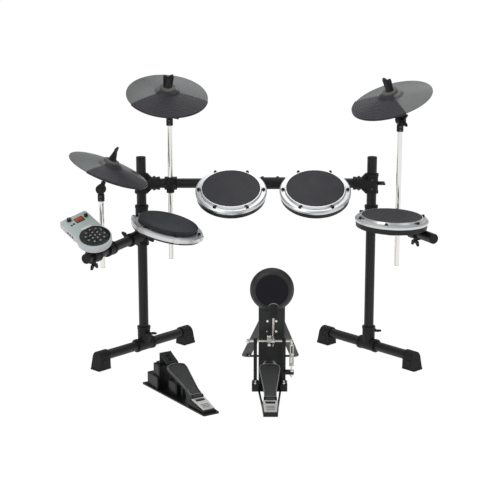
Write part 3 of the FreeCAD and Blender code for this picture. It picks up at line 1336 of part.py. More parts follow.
def strap_foot():
    return kick_board_frame().multVec(V(STRAP_X - PEDAL_X, STRAP_ALONG, STRAP_RISE))


def kick_strap():
    """Pull strap from the footboard up to the front of the cam."""
    low = strap_foot()
    eye = rod(low - X * STRAP_HALF, X, STRAP_EYE_R, STRAP_HALF * 2)
    reach = STRAP_HALF + RUN + STRAP_LUG_T
    pin = rod(low - X * reach, X, STRAP_PIN_R, reach * 2)
    band = block(low - V(STRAP_HALF, STRAP_T / 2, 0),
                 V(low.x + STRAP_HALF, low.y + STRAP_T / 2, AXLE_Z + STRAP_TOP_RISE))
    return [fuse(eye, pin, band)]


def beater_axis():
    lean = math.radians(BEATER_LEAN)
    return V(0, -math.sin(lean), math.cos(lean))


def kick_axle():
    """Axle with cam, beater hub and spring crank, and the beater rod through the hub."""
    left, right = PEDAL_X - AXLE_LEFT, PEDAL_X + AXLE_RIGHT
    centre = V(0, FRAME_Y, AXLE_Z)
    pin = crank_pin()
    crank_x = right - CRANK_T
    arm_way = V(0, pin.y, pin.z) - centre
    crank = [rod(V(crank_x, FRAME_Y, AXLE_Z), X, CRANK_R, CRANK_T),
             rod(V(crank_x, pin.y, pin.z), X, CRANK_R * 0.7, CRANK_T),
             placed([block(V(0, 0, -CRANK_R * 0.6), V(CRANK_T, arm_way.Length, CRANK_R * 0.6))],
                    FreeCAD.Placement(V(crank_x, FRAME_Y, AXLE_Z), FreeCAD.Rotation(Y, arm_way)))[0]]
    axle = fuse(rod(V(left, FRAME_Y, AXLE_Z), X, AXLE_R, right - left),
                rod(V(STRAP_X - CAM_HALF, FRAME_Y, AXLE_Z), X, CAM_R, CAM_HALF * 2),
                rod(V(BEATER_X - BEATER_HUB_HALF, FRAME_Y, AXLE_Z), X, BEATER_HUB_R, BEATER_HUB_HALF * 2),
                *crank)
    up = beater_axis()
    foot_point = V(BEATER_X, FRAME_Y, AXLE_Z) - up * BEATER_TAIL
    stick = rod(foot_point, up, BEATER_ROD_R, BEATER_TAIL + BEATER_REACH)
    hole = rod(foot_point, up, BEATER_ROD_R + FIT, BEATER_TAIL + BEATER_REACH)
    return [axle.cut(hole).cut(rod(pin - X * CRANK_T, X, CRANK_PIN_R + FIT, CRANK_T * 2)), stick]


def beater_head():
    up = beater_axis()
    middle = V(BEATER_X, FRAME_Y, AXLE_Z) + up * BEATER_REACH
    strike = X.cross(up) * -1
    head = rod(middle - strike * (BEATER_HEAD_LENGTH / 2), strike, BEATER_HEAD_R, BEATER_HEAD_LENGTH)
    head = head.makeFillet(BEATER_HEAD_R * 0.2, head.Edges[:1] + head.Edges[2:])
    return [head.cut(rod(middle - up * BEATER_HEAD_R * 2, up, BEATER_ROD_R + FIT, BEATER_HEAD_R * 2))]


# Return spring

def quarter_point(index):
    turn = index * math.pi / 2
    rise = SPRING_PITCH * index / 4
    return V(SPRING_COIL_R * math.cos(turn), SPRING_COIL_R * math.sin(turn), rise)


def quarter_tangent(index):
    turn = index * math.pi / 2
    rise = SPRING_PITCH / (2 * math.pi)
    return unit(V(-SPRING_COIL_R * math.sin(turn), SPRING_COIL_R * math.cos(turn), rise))


def arc_from(start, tangent, end):
    """Arc that leaves the start along the tangent and ends at the end point."""
    chord = end - start
    normal = unit(chord - tangent * chord.dot(tangent))
    radius = chord.dot(chord) / (2 * chord.dot(normal))
    centre = start + normal * radius
    middle = centre + unit((start + end) * 0.5 - centre) * radius
    return Part.Arc(start, middle, end).toShape()


def biarc(start, start_tangent, end, end_tangent):
    """Two arcs that meet smoothly, with the given directions at both ends."""
    chord = end - start
    both = start_tangent + end_tangent
    half = chord.dot(both)
    spread = 2 * (1 - start_tangent.dot(end_tangent))
    reach = (-half + math.sqrt(half ** 2 + spread * chord.dot(chord))) / spread
    meet = (start + end + (start_tangent - end_tangent) * reach) * 0.5
    first = arc_from(start, start_tangent, meet)
    second = arc_from(end, end_tangent * -1, meet)
    return [first, second]


def spring_coil():
    """Wound wire as one tube, standing on the origin."""
    quarters = SPRING_TURNS * 4
    start, end = quarter_point(0), quarter_point(quarters)
    begin_way, end_way = quarter_tangent(0), quarter_tangent(quarters)
    edges = [Part.makeLine(start - begin_way * SPRING_WIRE, start)]
    for i in range(quarters):
        pieces = biarc(quarter_point(i), quarter_tangent(i), quarter_point(i + 1), quarter_tangent(i + 1))
        edges += pieces
    edges.append(Part.makeLine(end, end + end_way * SPRING_WIRE))
    path = Part.Wire(Part.sortEdges(edges)[0])
    ring = Part.Wire([Part.makeCircle(SPRING_WIRE / 2, start - begin_way * SPRING_WIRE, begin_way)])
    coil = path.makePipeShell([ring], True, False)
    expected = math.pi * SPRING_WIRE ** 2 / 4 * path.Length
    print("spring volume %.1f, section times length %.1f" % (coil.Volume, expected))
    print("spring least self gap %.2f mm" % coil_gap(quarters))
    return coil


def coil_gap(quarters):
    """Least distance between turns, measured on points along the wire."""
    steps = [quarter_point(i / 4) for i in range(quarters * 4 + 1)]
    turn = 16
    least = SPRING_PITCH * SPRING_TURNS
    for i, point in enumerate(steps):
        for other in steps[i + turn // 2:]:
            least = min(least, (other - point).Length)
    return least - SPRING_WIRE


def coil_place():
    pin = crank_pin()
    return V(pin.x, pin.y, SPRING_FOOT_Z + SPRING_WIRE / 2 + SPRING_GAP)


def kick_spring():
    pin = crank_pin()
    at = coil_place()
    coil_top = at.z + SPRING_PITCH * SPRING_TURNS + SPRING_WIRE / 2 + SPRING_GAP
    coil = placed([spring_coil()], FreeCAD.Placement(at, FreeCAD.Rotation()))
    plug_r = SPRING_COIL_R - SPRING_WIRE / 2 - SPRING_GAP * 3
    cup = fuse(rod(V(pin.x, pin.y, coil_top), Z, SPRING_CUP_R, SPRING_CUP_T),
               rod(V(pin.x, pin.y, coil_top - SPRING_PITCH * 2), Z, plug_r, SPRING_PITCH * 2))
    eye = rod(pin - X * (CRANK_T / 2 + SPRING_CUP_T), X, CRANK_PIN_R, CRANK_T + SPRING_CUP_T * 2)
    hooks = []
    for side in (-1, 1):
        x = pin.x + side * (CRANK_T / 2 + SPRING_CUP_T / 2 + RUN)
        low = V(x, pin.y, coil_top + SPRING_CUP_T / 2)
        hooks.append(rod(low, Z, SPRING_CUP_T / 2, pin.z - low.z + CRANK_PIN_R))
    return coil + [fuse(cup, eye, *hooks)]


def spring_stud():
    """Threaded adjuster with a cup under the spring and two nuts at the bracket."""
    pin = crank_pin()
    plug_r = SPRING_COIL_R - SPRING_WIRE / 2 - SPRING_GAP * 3
    axis = V(pin.x, pin.y, 0)
    cup = fuse(rod(axis + Z * (SPRING_FOOT_Z - SPRING_CUP_T), Z, SPRING_CUP_R, SPRING_CUP_T),
               rod(axis + Z * SPRING_FOOT_Z, Z, plug_r, SPRING_PITCH * 2),
               rod(axis + Z * STUD_FOOT_Z, Z, STUD_R, SPRING_FOOT_Z - STUD_FOOT_Z))
    nuts = [pipe(axis + Z * (BRACKET_Z - STUD_NUT_T), Z, STUD_NUT_R, STUD_R + FIT, STUD_NUT_T),
            pipe(axis + Z * (BRACKET_Z + BRACKET_T), Z, STUD_NUT_R, STUD_R + FIT, STUD_NUT_T)]
    return [cup] + nuts


def make_kick():
    heel = heel_plate(PEDAL_X, HEEL_END, HINGE_Y)
    fittings = column_screws() + brace_spikes() + spring_stud() + [hinge_pin(PEDAL_X, HINGE_Y, HINGE_Z)]
    return {"kick_column": [kick_column()], "kick_brace": kick_brace(), "kick_pad_shell": kick_pad_shell(),
            "kick_pad_face": kick_pad_face(),
            "kick_pedal_frame": [pedal_base(), frame_post(-1), frame_post(1)],
            "kick_heel_plate": [heel], "kick_spring": kick_spring(), "kick_fittings": fittings,
            "kick_footboard": kick_footboard(), "kick_strap": kick_strap(), "kick_axle": kick_axle(),
            "kick_beater_head": beater_head()}


# Hi-hat pedal, made along +Y from its heel and then turned

def hihat_frame():
    return FreeCAD.Placement(HIHAT_HEEL_AT, FreeCAD.Rotation(Z, HIHAT_TURN))


def hihat_board_frame():
    spot = FreeCAD.Placement(V(0, HIHAT_HINGE_Y, HIHAT_HINGE_Z), FreeCAD.Rotation(X, HIHAT_BOARD_ANGLE))
    return hihat_frame().multiply(spot)


def hihat_pedal_base():
    """Sole plate with hinge lugs and switch post, and the stepped housing with its bracket."""
    outline = [(-SOLE_HEEL_HALF, 0), (SOLE_HEEL_HALF, 0), (SOLE_BACK_HALF, SOLE_LENGTH),
               (-SOLE_BACK_HALF, SOLE_LENGTH)]
    sole = plate(outline, 0, SOLE_T)
    sole = sole.makeFillet(SOLE_CORNER_R, [e for e in sole.Edges if e.BoundBox.ZLength > SOLE_T / 2])
    heel = heel_base(0, HIHAT_HEEL_FRONT, HIHAT_HINGE_Y, HIHAT_HINGE_Z)
    sole = fuse(sole, heel, *hinge_lugs(0, HIHAT_HINGE_Y, HIHAT_HINGE_Z, HEEL_FRONT_T / 2))
    pin_bore = rod(V(-SOLE_BACK_HALF, HIHAT_HINGE_Y, HIHAT_HINGE_Z), X, HINGE_PIN_R + FIT, SOLE_BACK_HALF * 2)
    sole = sole.cut(pin_bore)
    switch = rod(V(0, SWITCH_AT, SOLE_T), Z, SWITCH_R, SWITCH_H)
    pin = hinge_pin(0, HIHAT_HINGE_Y, HIHAT_HINGE_Z)
    return placed([sole, switch, pin] + hihat_housing(), hihat_frame())


def hihat_housing():
    back = SOLE_LENGTH - HOUSING_BACK_GAP
    low_box = block(V(-HOUSING_HALF, HOUSING_FROM, SOLE_T), V(HOUSING_HALF, back, HOUSING_LOW))
    top_back = back - HOUSING_STEP
    top_front = top_back - HOUSING_TOP_LENGTH
    high_box = block(V(-HOUSING_TOP_HALF, top_front, SOLE_T), V(HOUSING_TOP_HALF, top_back, HOUSING_HIGH))
    round_r = HOUSING_ROUND_R
    low_box = low_box.makeFillet(round_r, [e for e in low_box.Edges if e.BoundBox.ZMax > SOLE_T + round_r])
    high_box = high_box.makeFillet(round_r, [e for e in high_box.Edges if e.BoundBox.ZMax > SOLE_T + round_r])
    return [fuse(low_box, high_box), hihat_bracket(top_front, top_back - round_r)]


def hihat_bracket(top_front, foot_back):
    """Bent sheet on the housing: foot, upright, and a plate that slopes down to the toe."""
    slope = math.radians(HIHAT_BOARD_ANGLE)
    face = top_front + BRACKET_SET_BACK
    rear = face + BRACKET_PLATE_T
    tip = face - BRACKET_LEAD
    low = HOUSING_HIGH
    top = low + BRACKET_RISE
    deep = BRACKET_PLATE_T / math.cos(slope)
    tip_top = top - (rear - tip) * math.tan(slope)
    bend = top - BRACKET_PLATE_T * math.tan(slope) - deep
    side = [(foot_back, low), (foot_back, low + BRACKET_PLATE_T), (rear, low + BRACKET_PLATE_T), (rear, top),
            (tip, tip_top), (tip, tip_top - deep), (face, bend), (face, low)]
    corners = [V(-BRACKET_HALF, y, z) for y, z in side]
    sheet = Part.Face(Part.makePolygon(corners + corners[:1])).extrude(V(BRACKET_HALF * 2, 0, 0))
    holes = [rod(V(0, face - back, 0), Z, BRACKET_HOLE_R, top * 2) for back in BRACKET_HOLES]
    return sheet.cut(Part.makeCompound(holes))


def make_hihat_pedal():
    heel = heel_plate(0, HIHAT_HEEL_FRONT, HIHAT_HINGE_Y)
    return {"hihat_pedal_base": hihat_pedal_base(), "hihat_heel_plate": placed([heel], hihat_frame()),
            "hihat_footboard": placed([footboard_blank()], hihat_board_frame())}


def build():
    nodes = make_rack()
    nodes["left_arm_clamp"], nodes["left_arm_tube"] = make_arm(-1, LEFT_ARM_LENGTH, HIHAT_ROD_ALONG)
    nodes["right_arm_clamp"], nodes["right_arm_tube"] = make_arm(1, RIGHT_ARM_LENGTH, RIDE_ROD_ALONG)
    for name in CYMBALS:
        nodes.update(make_cymbal(name))
    for name in ("tom_left", "tom_right", "floor_tom", "snare"):
        nodes.update(make_pad(name))
    nodes.update(make_module())
    nodes.update(make_kick())
    nodes.update(make_hihat_pedal())
    return nodes


if __name__ == "__main__":
    os.makedirs("parts", exist_ok=True)
    for node, solids in build().items():
        shape = solids[0] if len(solids) == 1 else Part.makeCompound(solids)
        shape.exportStep(os.path.join("parts", node + ".step"))
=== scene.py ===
import bpy
import math
from mathutils import Matrix, Vector


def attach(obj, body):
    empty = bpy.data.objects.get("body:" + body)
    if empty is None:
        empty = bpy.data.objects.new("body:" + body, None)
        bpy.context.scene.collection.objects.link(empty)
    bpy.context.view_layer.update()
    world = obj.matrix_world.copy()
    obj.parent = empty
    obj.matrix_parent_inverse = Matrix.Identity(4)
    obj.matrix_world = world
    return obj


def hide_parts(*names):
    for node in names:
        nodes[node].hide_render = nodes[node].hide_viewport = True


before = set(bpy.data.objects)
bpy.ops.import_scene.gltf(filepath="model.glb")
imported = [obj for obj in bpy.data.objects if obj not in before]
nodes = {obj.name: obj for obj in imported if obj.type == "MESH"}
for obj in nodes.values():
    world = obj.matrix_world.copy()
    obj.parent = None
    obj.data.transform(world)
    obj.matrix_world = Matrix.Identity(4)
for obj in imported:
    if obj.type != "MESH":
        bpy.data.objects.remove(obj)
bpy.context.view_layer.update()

SENSOR_MM, LENS_MM = 36.0, 105.97
CAMERA_AT, CAMERA_PITCH = (0.0, -4.915, 1.691), 76.0
SKY_COLOUR, SKY_STRENGTH = (0.97, 0.985, 1.0, 1.0), 0.48
SWEEP_SIZE, PAPER_COLOUR = 80.0, (0.9, 0.9, 0.9, 1.0)
PAPER_GLOW, PAPER_GLOW_SHARE = 1.09, 0.88
KIT_MIDDLE = (0.0, 0.0, 0.5)

scene = bpy.context.scene
scene.view_settings.view_transform = "Standard"

lens = bpy.data.cameras.new("catalogue_lens")
lens.sensor_width = SENSOR_MM
lens.lens = LENS_MM
lens.clip_end = 100.0
camera = bpy.data.objects.new("catalogue_camera", lens)
camera.location = CAMERA_AT
camera.rotation_euler = (math.radians(CAMERA_PITCH), 0.0, 0.0)
scene.collection.objects.link(camera)
scene.camera = camera


def seen_by(net, ray):
    """Value of one where the camera looks, or where one other kind of ray does."""
    path = net.nodes.new("ShaderNodeLightPath")
    seen = net.nodes.new("ShaderNodeMath")
    seen.operation = "MAXIMUM"
    net.links.new(path.outputs["Is Camera Ray"], seen.inputs[0])
    net.links.new(path.outputs[ray], seen.inputs[1])
    return seen.outputs[0]


def show_mix(net, end, share, shade, bright):
    """Sends a mix of two shaders to the output, with the share of the second."""
    mix = net.nodes.new("ShaderNodeMixShader")
    net.links.new(share, mix.inputs["Fac"])
    net.links.new(shade.outputs[0], mix.inputs[1])
    net.links.new(bright.outputs[0], mix.inputs[2])
    net.links.new(mix.outputs[0], net.nodes.new(end).inputs["Surface"])


world = bpy.data.worlds.new("white_studio")
world.use_nodes = True
scene.world = world
sky = world.node_tree
sky.nodes.clear()
sky_light = sky.nodes.new("ShaderNodeBackground")
sky_light.inputs["Color"].default_value = SKY_COLOUR
sky_light.inputs["Strength"].default_value = SKY_STRENGTH
sky_white = sky.nodes.new("ShaderNodeBackground")
sky_white.inputs["Color"].default_value = (1.0, 1.0, 1.0, 1.0)
show_mix(sky, "ShaderNodeOutputWorld", seen_by(sky, "Is Transmission Ray"), sky_light, sky_white)


def soft_box(name, place, aim, size, power):
    """Lamp with a broad rectangular face, aimed at a point."""
    lamp = bpy.data.lights.new(name, "AREA")
    lamp.shape = "RECTANGLE"
    lamp.size, lamp.size_y = size
    lamp.energy = power
    holder = bpy.data.objects.new(name, lamp)
    holder.location = place
    holder.rotation_euler = (Vector(aim) - Vector(place)).to_track_quat("-Z", "Y").to_euler()
    scene.collection.objects.link(holder)


soft_box("key_softbox", (-1.9, -2.6, 3.0), KIT_MIDDLE, size=(2.2, 1.6), power=34.0)
soft_box("fill_softbox", (2.6, -2.2, 2.2), KIT_MIDDLE, size=(1.8, 1.8), power=6.0)
soft_box("top_softbox", (0.2, 0.9, 3.3), (0.0, 0.1, 0.5), size=(2.6, 1.8), power=20.0)
soft_box("back_softbox", (0.5, 2.3, 2.6), (0.3, 0.1, 0.7), size=(1.8, 1.0), power=5.0)

bpy.ops.object.select_all(action="DESELECT")
bpy.ops.mesh.primitive_plane_add(size=SWEEP_SIZE, location=(0.0, 0.0, 0.0))
floor = bpy.context.object
floor.name = "studio_floor"
paper = bpy.data.materials.new("studio_paper")
paper.use_nodes = True
sheet = paper.node_tree
sheet.nodes.clear()
sheet_matt = sheet.nodes.new("ShaderNodeBsdfDiffuse")
sheet_matt.inputs["Color"].default_value = PAPER_COLOUR
sheet_glow = sheet.nodes.new("ShaderNodeEmission")
sheet_glow.inputs["Strength"].default_value = PAPER_GLOW
sheet_share = sheet.nodes.new("ShaderNodeMath")
sheet_share.operation = "MULTIPLY"
sheet_share.inputs[1].default_value = PAPER_GLOW_SHARE
sheet.links.new(seen_by(sheet, "Is Glossy Ray"), sheet_share.inputs[0])
show_mix(sheet, "ShaderNodeOutputMaterial", sheet_share.outputs[0], sheet_matt, sheet_glow)
floor.data.materials.append(paper)


# Rack tubes: 35 mm steel tube, powder coated satin black, cut to length and held by clamps.
# The coating has a fine orange-peel grain and small changes of gloss along the tube.
CLOUD_SCALE = 16.0
NOISE_LOW, NOISE_HIGH = 0.3, 0.7


def coating(name, colour, rough, metallic=0.0, grain=700.0, depth=0.00012, cloud=0.15, strength=0.35,
            sheen=0.07, shine=0.5):
    """Painted, moulded or plated surface with fine grain, cloudy colour and uneven gloss."""
    mat = bpy.data.materials.new(name)
    mat.use_nodes = True
    net = mat.node_tree
    shader = net.nodes["Principled BSDF"]
    shader.inputs["Metallic"].default_value = metallic
    shader.inputs["Specular IOR Level"].default_value = shine
    place = net.nodes.new("ShaderNodeTexCoord")
    broad = net.nodes.new("ShaderNodeTexNoise")
    broad.inputs["Scale"].default_value = CLOUD_SCALE
    broad.inputs["Detail"].default_value = 4.0
    fine = net.nodes.new("ShaderNodeTexNoise")
    fine.inputs["Scale"].default_value = grain
    fine.inputs["Detail"].default_value = 3.0
    tint = net.nodes.new("ShaderNodeValToRGB")
    dark, pale = tint.color_ramp.elements
    dark.position, pale.position = NOISE_LOW, NOISE_HIGH
    dark.color = [c * (1 - cloud) for c in colour] + [1.0]
    pale.color = [min(1.0, c * (1 + cloud)) for c in colour] + [1.0]
    gloss = net.nodes.new("ShaderNodeMapRange")
    gloss.inputs["From Min"].default_value = NOISE_LOW
    gloss.inputs["From Max"].default_value = NOISE_HIGH
    gloss.inputs["To Min"].default_value = max(0.02, rough - sheen)
    gloss.inputs["To Max"].default_value = min(1.0, rough + sheen)
    bump = net.nodes.new("ShaderNodeBump")
    bump.inputs["Strength"].default_value = strength
    bump.inputs["Distance"].default_value = depth
    for texture in (broad, fine):
        net.links.new(place.outputs["Object"], texture.inputs["Vector"])
    net.links.new(broad.outputs["Fac"], tint.inputs["Fac"])
    net.links.new(tint.outputs["Color"], shader.inputs["Base Color"])
    net.links.new(broad.outputs["Fac"], gloss.inputs["Value"])
    net.links.new(gloss.outputs["Result"], shader.inputs["Roughness"])
    net.links.new(fine.outputs["Fac"], bump.inputs["Height"])
    net.links.new(bump.outputs["Normal"], shader.inputs["Normal"])
    return mat


def dress(mat, *names):
    """Gives one material to nodes of the frame."""
    for name in names:
        nodes[name].data.materials.clear()
        nodes[name].data.materials.append(mat)


powder_black = coating("powder_black", (0.012, 0.012, 0.013), rough=0.42, shine=0.35)
dress(powder_black, "rack_tubes", "left_arm_tube", "right_arm_tube")


# Clamps: glass filled nylon, moulded in black with a dull spark-eroded grain, drawn tight by
# socket bolts and wing screws. The tees and the middle sleeve carry bare oval plates, and
# moulded plugs close the open ends of the posts and arms.
UP, DOWN = (0.0, 0.0, 1.0), (0.0, 0.0, -1.0)
ACROSS, LEFTWARD = (1.0, 0.0, 0.0), (-1.0, 0.0, 0.0)
BACK, FRONT = (0.0, 1.0, 0.0), (0.0, -1.0, 0.0)
LEFT_POST_X, RIGHT_POST_X, POST_Y, POST_TOP = -0.383, 0.444, 0.226, 0.744
LEFT_ARM_Z, LEFT_ARM_WAY, LEFT_ARM_END = 0.458, (-0.4289, -0.9033, 0.0), 0.387
RIGHT_ARM_Z, RIGHT_ARM_WAY, RIGHT_ARM_END = 0.533, (0.4384, -0.8988, 0.0), 0.412
BAR_Z = 0.649
LEVEL, SAME_HEIGHT = 0.99, 0.00001
TEE_BOLT_X, TEE_TOP, TEE_SIDE, GRIP_BOLT_Z = 0.0465, 0.0222, 0.0226, 0.0165
OVAL_X, OVAL_SEAT = 0.044, 0.0216
SLEEVE_XS, SLEEVE_FRONT, SLEEVE_TOP = (0.052, 0.106), 0.2054, 0.6703

nylon_black = coating("nylon_black", (0.012, 0.012, 0.0125), rough=0.55, grain=1300.0, depth=0.0002,
                      strength=0.5, shine=0.3)
zinc_dark = coating("zinc_dark", (0.10, 0.10, 0.105), rough=0.34, metallic=1.0, grain=1600.0, cloud=0.2)
dress(nylon_black, "base_clamps", "bar_clamps", "left_arm_clamp", "right_arm_clamp", "module_mount",
      "tom_left_mount", "tom_right_mount", "floor_tom_mount", "snare_mount")


def new_round(name, radius, low, high, sides=32):
    """Disc or rod on Z, left open for editing."""
    bpy.ops.object.select_all(action="DESELECT")
    bpy.ops.mesh.primitive_cylinder_add(vertices=sides, radius=radius, depth=high - low,
                                        location=(0.0, 0.0, (low + high) / 2))
    return begin(name)


def new_block(name, low, high):
    """Block between two corners, left open for editing."""
    bpy.ops.object.select_all(action="DESELECT")
    bpy.ops.mesh.primitive_cube_add(size=1.0, location=[(a + b) / 2 for a, b in zip(low, high)])
    bpy.context.object.scale = [b - a for a, b in zip(low, high)]
    return begin(name)


def begin(name):
    """Names the newest piece and opens it for editing."""
    piece = bpy.context.object
    piece.name = name
    piece.data.name = name
    bpy.ops.object.transform_apply(location=True, rotation=True, scale=True)
    bpy.ops.object.mode_set(mode="EDIT")
    bpy.ops.mesh.select_all(action="DESELECT")
    return piece


def pick(piece, test):
    """Selects the faces of a piece that pass a test of centre and normal."""
    bpy.ops.object.mode_set(mode="OBJECT")
    mesh = piece.data
    for group in (mesh.vertices, mesh.edges, mesh.polygons):
        group.foreach_set("select", [False] * len(group))
    for face in mesh.polygons:
        face.select = test(face.center, face.normal)
    bpy.ops.object.mode_set(mode="EDIT")
    bpy.ops.mesh.select_mode(type="FACE")


def top_of(piece):
    """Selects the highest level faces."""
    high = max(v.co.z for v in piece.data.vertices)
    pick(piece, lambda c, n: n.z > LEVEL and c.z > high - SAME_HEIGHT)


def push(up):
    """Draws the selected faces up, or down with a negative height."""
    bpy.ops.mesh.extrude_region_move(TRANSFORM_OT_translate={"value": (0.0, 0.0, up)})


def round_top(piece, by, steps):
    """Rounds the rim of the top."""
    top_of(piece)
    bpy.ops.mesh.bevel(offset=by, segments=steps)


def sink_top(piece, rim, depth):
    """Lets the top down inside a rim."""
    top_of(piece)
    bpy.ops.mesh.inset(thickness=rim)
    push(-depth)


def round_corners(piece, by, steps):
    """Rounds the edges that run along Z."""
    bpy.ops.mesh.select_mode(type="EDGE")
    bpy.ops.object.mode_set(mode="OBJECT")
    points = piece.data.vertices
    for edge in piece.data.edges:
        way = points[edge.vertices[0]].co - points[edge.vertices[1]].co
        edge.select = abs(way.z) > 0.9 * way.length
    bpy.ops.object.mode_set(mode="EDIT")
    bpy.ops.mesh.bevel(offset=by, segments=steps)


def close(piece, mat, smooth=35.0):
    """Ends the editing of a piece and gives it its material."""
    bpy.ops.object.mode_set(mode="OBJECT")
    piece.data.materials.append(mat)
    bpy.ops.object.shade_smooth_by_angle(angle=math.radians(smooth))
    piece.select_set(False)
    return piece


def seat(origin, along, up):
    """Matrix that stands a piece on a seat, its Z on up and its X near along."""
    z = Vector(up).normalized()
    y = z.cross(Vector(along)).normalized()
    return Matrix.Translation(Vector(origin)) @ Matrix((y.cross(z), y, z)).transposed().to_4x4()


def keep(piece, place, body):
    piece.data.transform(place)
    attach(piece, body)
    return piece


def copy_to(pattern, name, place, body):
    twin = bpy.data.objects.new(name, pattern.data.copy())
    twin.data.name = name
    scene.collection.objects.link(twin)
    return keep(twin, place, body)


def discard(pattern):
    """Removes a pattern after its last copy."""
    bpy.data.objects.remove(pattern, do_unlink=True)


socket_bolt = new_round("socket_bolt", radius=0.0048, low=-0.0004, high=0.0038, sides=24)
round_top(socket_bolt, by=0.0007, steps=2)
sink_top(socket_bolt, rim=0.0016, depth=0.0022)
close(socket_bolt, zinc_dark)

oval_plate = new_block("oval_plate", low=(-0.017, -0.0075, -0.0018), high=(0.017, 0.0075, 0.0018))
round_corners(oval_plate, by=0.0072, steps=10)
sink_top(oval_plate, rim=0.0016, depth=0.0012)
close(oval_plate, nylon_black)

plug_face = new_round("plug_face", radius=0.0172, low=-0.0005, high=0.0015, sides=40)
round_top(plug_face, by=0.001, steps=3)
sink_top(plug_face, rim=0.0022, depth=0.0009)
bpy.ops.mesh.inset(thickness=0.006)
push(0.0007)
close(plug_face, nylon_black)

left_arm = seat((LEFT_POST_X, POST_Y, LEFT_ARM_Z), LEFT_ARM_WAY, UP)
right_arm = seat((RIGHT_POST_X, POST_Y, RIGHT_ARM_Z), RIGHT_ARM_WAY, UP)
left_tee = seat((LEFT_POST_X, POST_Y, BAR_Z), ACROSS, UP)
right_tee = seat((RIGHT_POST_X, POST_Y, BAR_Z), LEFTWARD, UP)
tees = (("left_tee", left_tee, "rack"), ("right_tee", right_tee, "rack"),
        ("left_arm_tee", left_arm, "left_arm"), ("right_arm_tee", right_arm, "right_arm"))
for tee_name, tee, tee_body in tees:
    for count, high in enumerate((1.0, -1.0)):
        spot = seat((TEE_BOLT_X, 0.0, high * TEE_TOP), ACROSS, (0.0, 0.0, high))
        copy_to(socket_bolt, "%s_socket_bolt_%d" % (tee_name, count), tee @ spot, tee_body)
        for side_name, side in (("front", -1.0), ("rear", 1.0)):
            spot = seat((0.0, side * TEE_SIDE, high * GRIP_BOLT_Z), ACROSS, (0.0, side, 0.0))
            bolt_name = "%s_grip_bolt_%s_%d" % (tee_name, side_name, count)
            copy_to(socket_bolt, bolt_name, tee @ spot, tee_body)
for count, (tee, side) in enumerate(((left_tee, 1.0), (right_tee, -1.0))):
    spot = seat((OVAL_X, -OVAL_SEAT * side, 0.0), ACROSS, (0.0, -side, 0.0))
    copy_to(oval_plate, "tee_oval_%d" % count, tee @ spot, "rack")
for count, x in enumerate(SLEEVE_XS):
    copy_to(oval_plate, "sleeve_oval_%d" % count, seat((x, SLEEVE_FRONT, BAR_Z), ACROSS, FRONT),
            "rack")
    copy_to(socket_bolt, "sleeve_bolt_%d" % count, seat((x, POST_Y, SLEEVE_TOP), ACROSS, UP), "rack")
plugs = (("left_post", seat((LEFT_POST_X, POST_Y, POST_TOP), ACROSS, UP), "rack"),
         ("right_post", seat((RIGHT_POST_X, POST_Y, POST_TOP), ACROSS, UP), "rack"),
         ("left_arm", left_arm @ seat((LEFT_ARM_END, 0.0, 0.0), BACK, ACROSS), "left_arm"),
         ("right_arm", right_arm @ seat((RIGHT_ARM_END, 0.0, 0.0), BACK, ACROSS), "right_arm"))
for plug_name, spot, plug_body in plugs:
    copy_to(plug_face, plug_name + "_plug_face", spot, plug_body)
discard(plug_face)
discard(oval_plate)


# Rubber feet: soft black shoes pushed over the floor tubes, moulded with a proud sole and a
# raised panel on both sides.
shoe_rubber = coating("shoe_rubber", (0.012, 0.012, 0.013), rough=0.64, grain=900.0, depth=0.00025,
                      strength=0.55, shine=0.3)
dress(shoe_rubber, "floor_feet")

sole_rib = new_block("sole_rib", low=(-0.02875, -0.02375, 0.0005), high=(0.02875, 0.02375, 0.0065))
pick(sole_rib, lambda c, n: True)
bpy.ops.mesh.bevel(offset=0.0012, segments=2)
close(sole_rib, shoe_rubber)

side_panel = new_block("side_panel", low=(-0.017, -0.0236, 0.013), high=(0.009, 0.0236, 0.036))
pick(side_panel, lambda c, n: abs(n.y) > 0.9)
bpy.ops.mesh.inset(thickness=0.002, depth=0.0004)
bpy.ops.mesh.inset(thickness=0.002, depth=-0.0006)
round_corners(side_panel, by=0.0008, steps=2)
close(side_panel, shoe_rubber)

shoes = (("left_back", (-0.2371, 0.3798, 0.0), (0.6884, 0.7254, 0.0)),
         ("left_front", (-0.5289, 0.0722, 0.0), (-0.6884, -0.7254, 0.0)),
         ("right_back", (0.2981, 0.3798, 0.0), (-0.6884, 0.7254, 0.0)),
         ("right_front", (0.5899, 0.0722, 0.0), (0.6884, -0.7254, 0.0)))
for shoe, shoe_at, shoe_way in shoes:
    copy_to(sole_rib, shoe + "_sole_rib", seat(shoe_at, shoe_way, UP), "rack")
    copy_to(side_panel, shoe + "_side_panel", seat(shoe_at, shoe_way, UP), "rack")
discard(sole_rib)
discard(side_panel)


# Drum pads: black moulded shells under pressed steel hoops in satin chrome, with grey rubber
# heads. Black key screws with washers draw each hoop down, and a jack sits under each shell.
KEY_SCREWS, KEY_SCREW_RING, JACK_X = 6, 0.1135, 0.072

shell_black = coating("shell_black", (0.012, 0.012, 0.013), rough=0.5, grain=1200.0, depth=0.0002,
                      strength=0.4, shine=0.35)
hoop_chrome = coating("hoop_chrome", (0.70, 0.705, 0.715), rough=0.34, metallic=0.95, grain=500.0,
                      depth=0.00001, cloud=0.02, strength=0.05, sheen=0.02)
head_rubber = coating("head_rubber", (0.036, 0.0355, 0.042), rough=0.62, grain=1500.0, depth=0.0002,
                      cloud=0.06, strength=0.5, shine=0.3)
snare_rubber = coating("snare_rubber", (0.031, 0.032, 0.038), rough=0.6, grain=1500.0, depth=0.0002,
                       cloud=0.06, strength=0.5, shine=0.3)
dress(head_rubber, "tom_left_head", "tom_right_head", "floor_tom_head")
dress(snare_rubber, "snare_head")


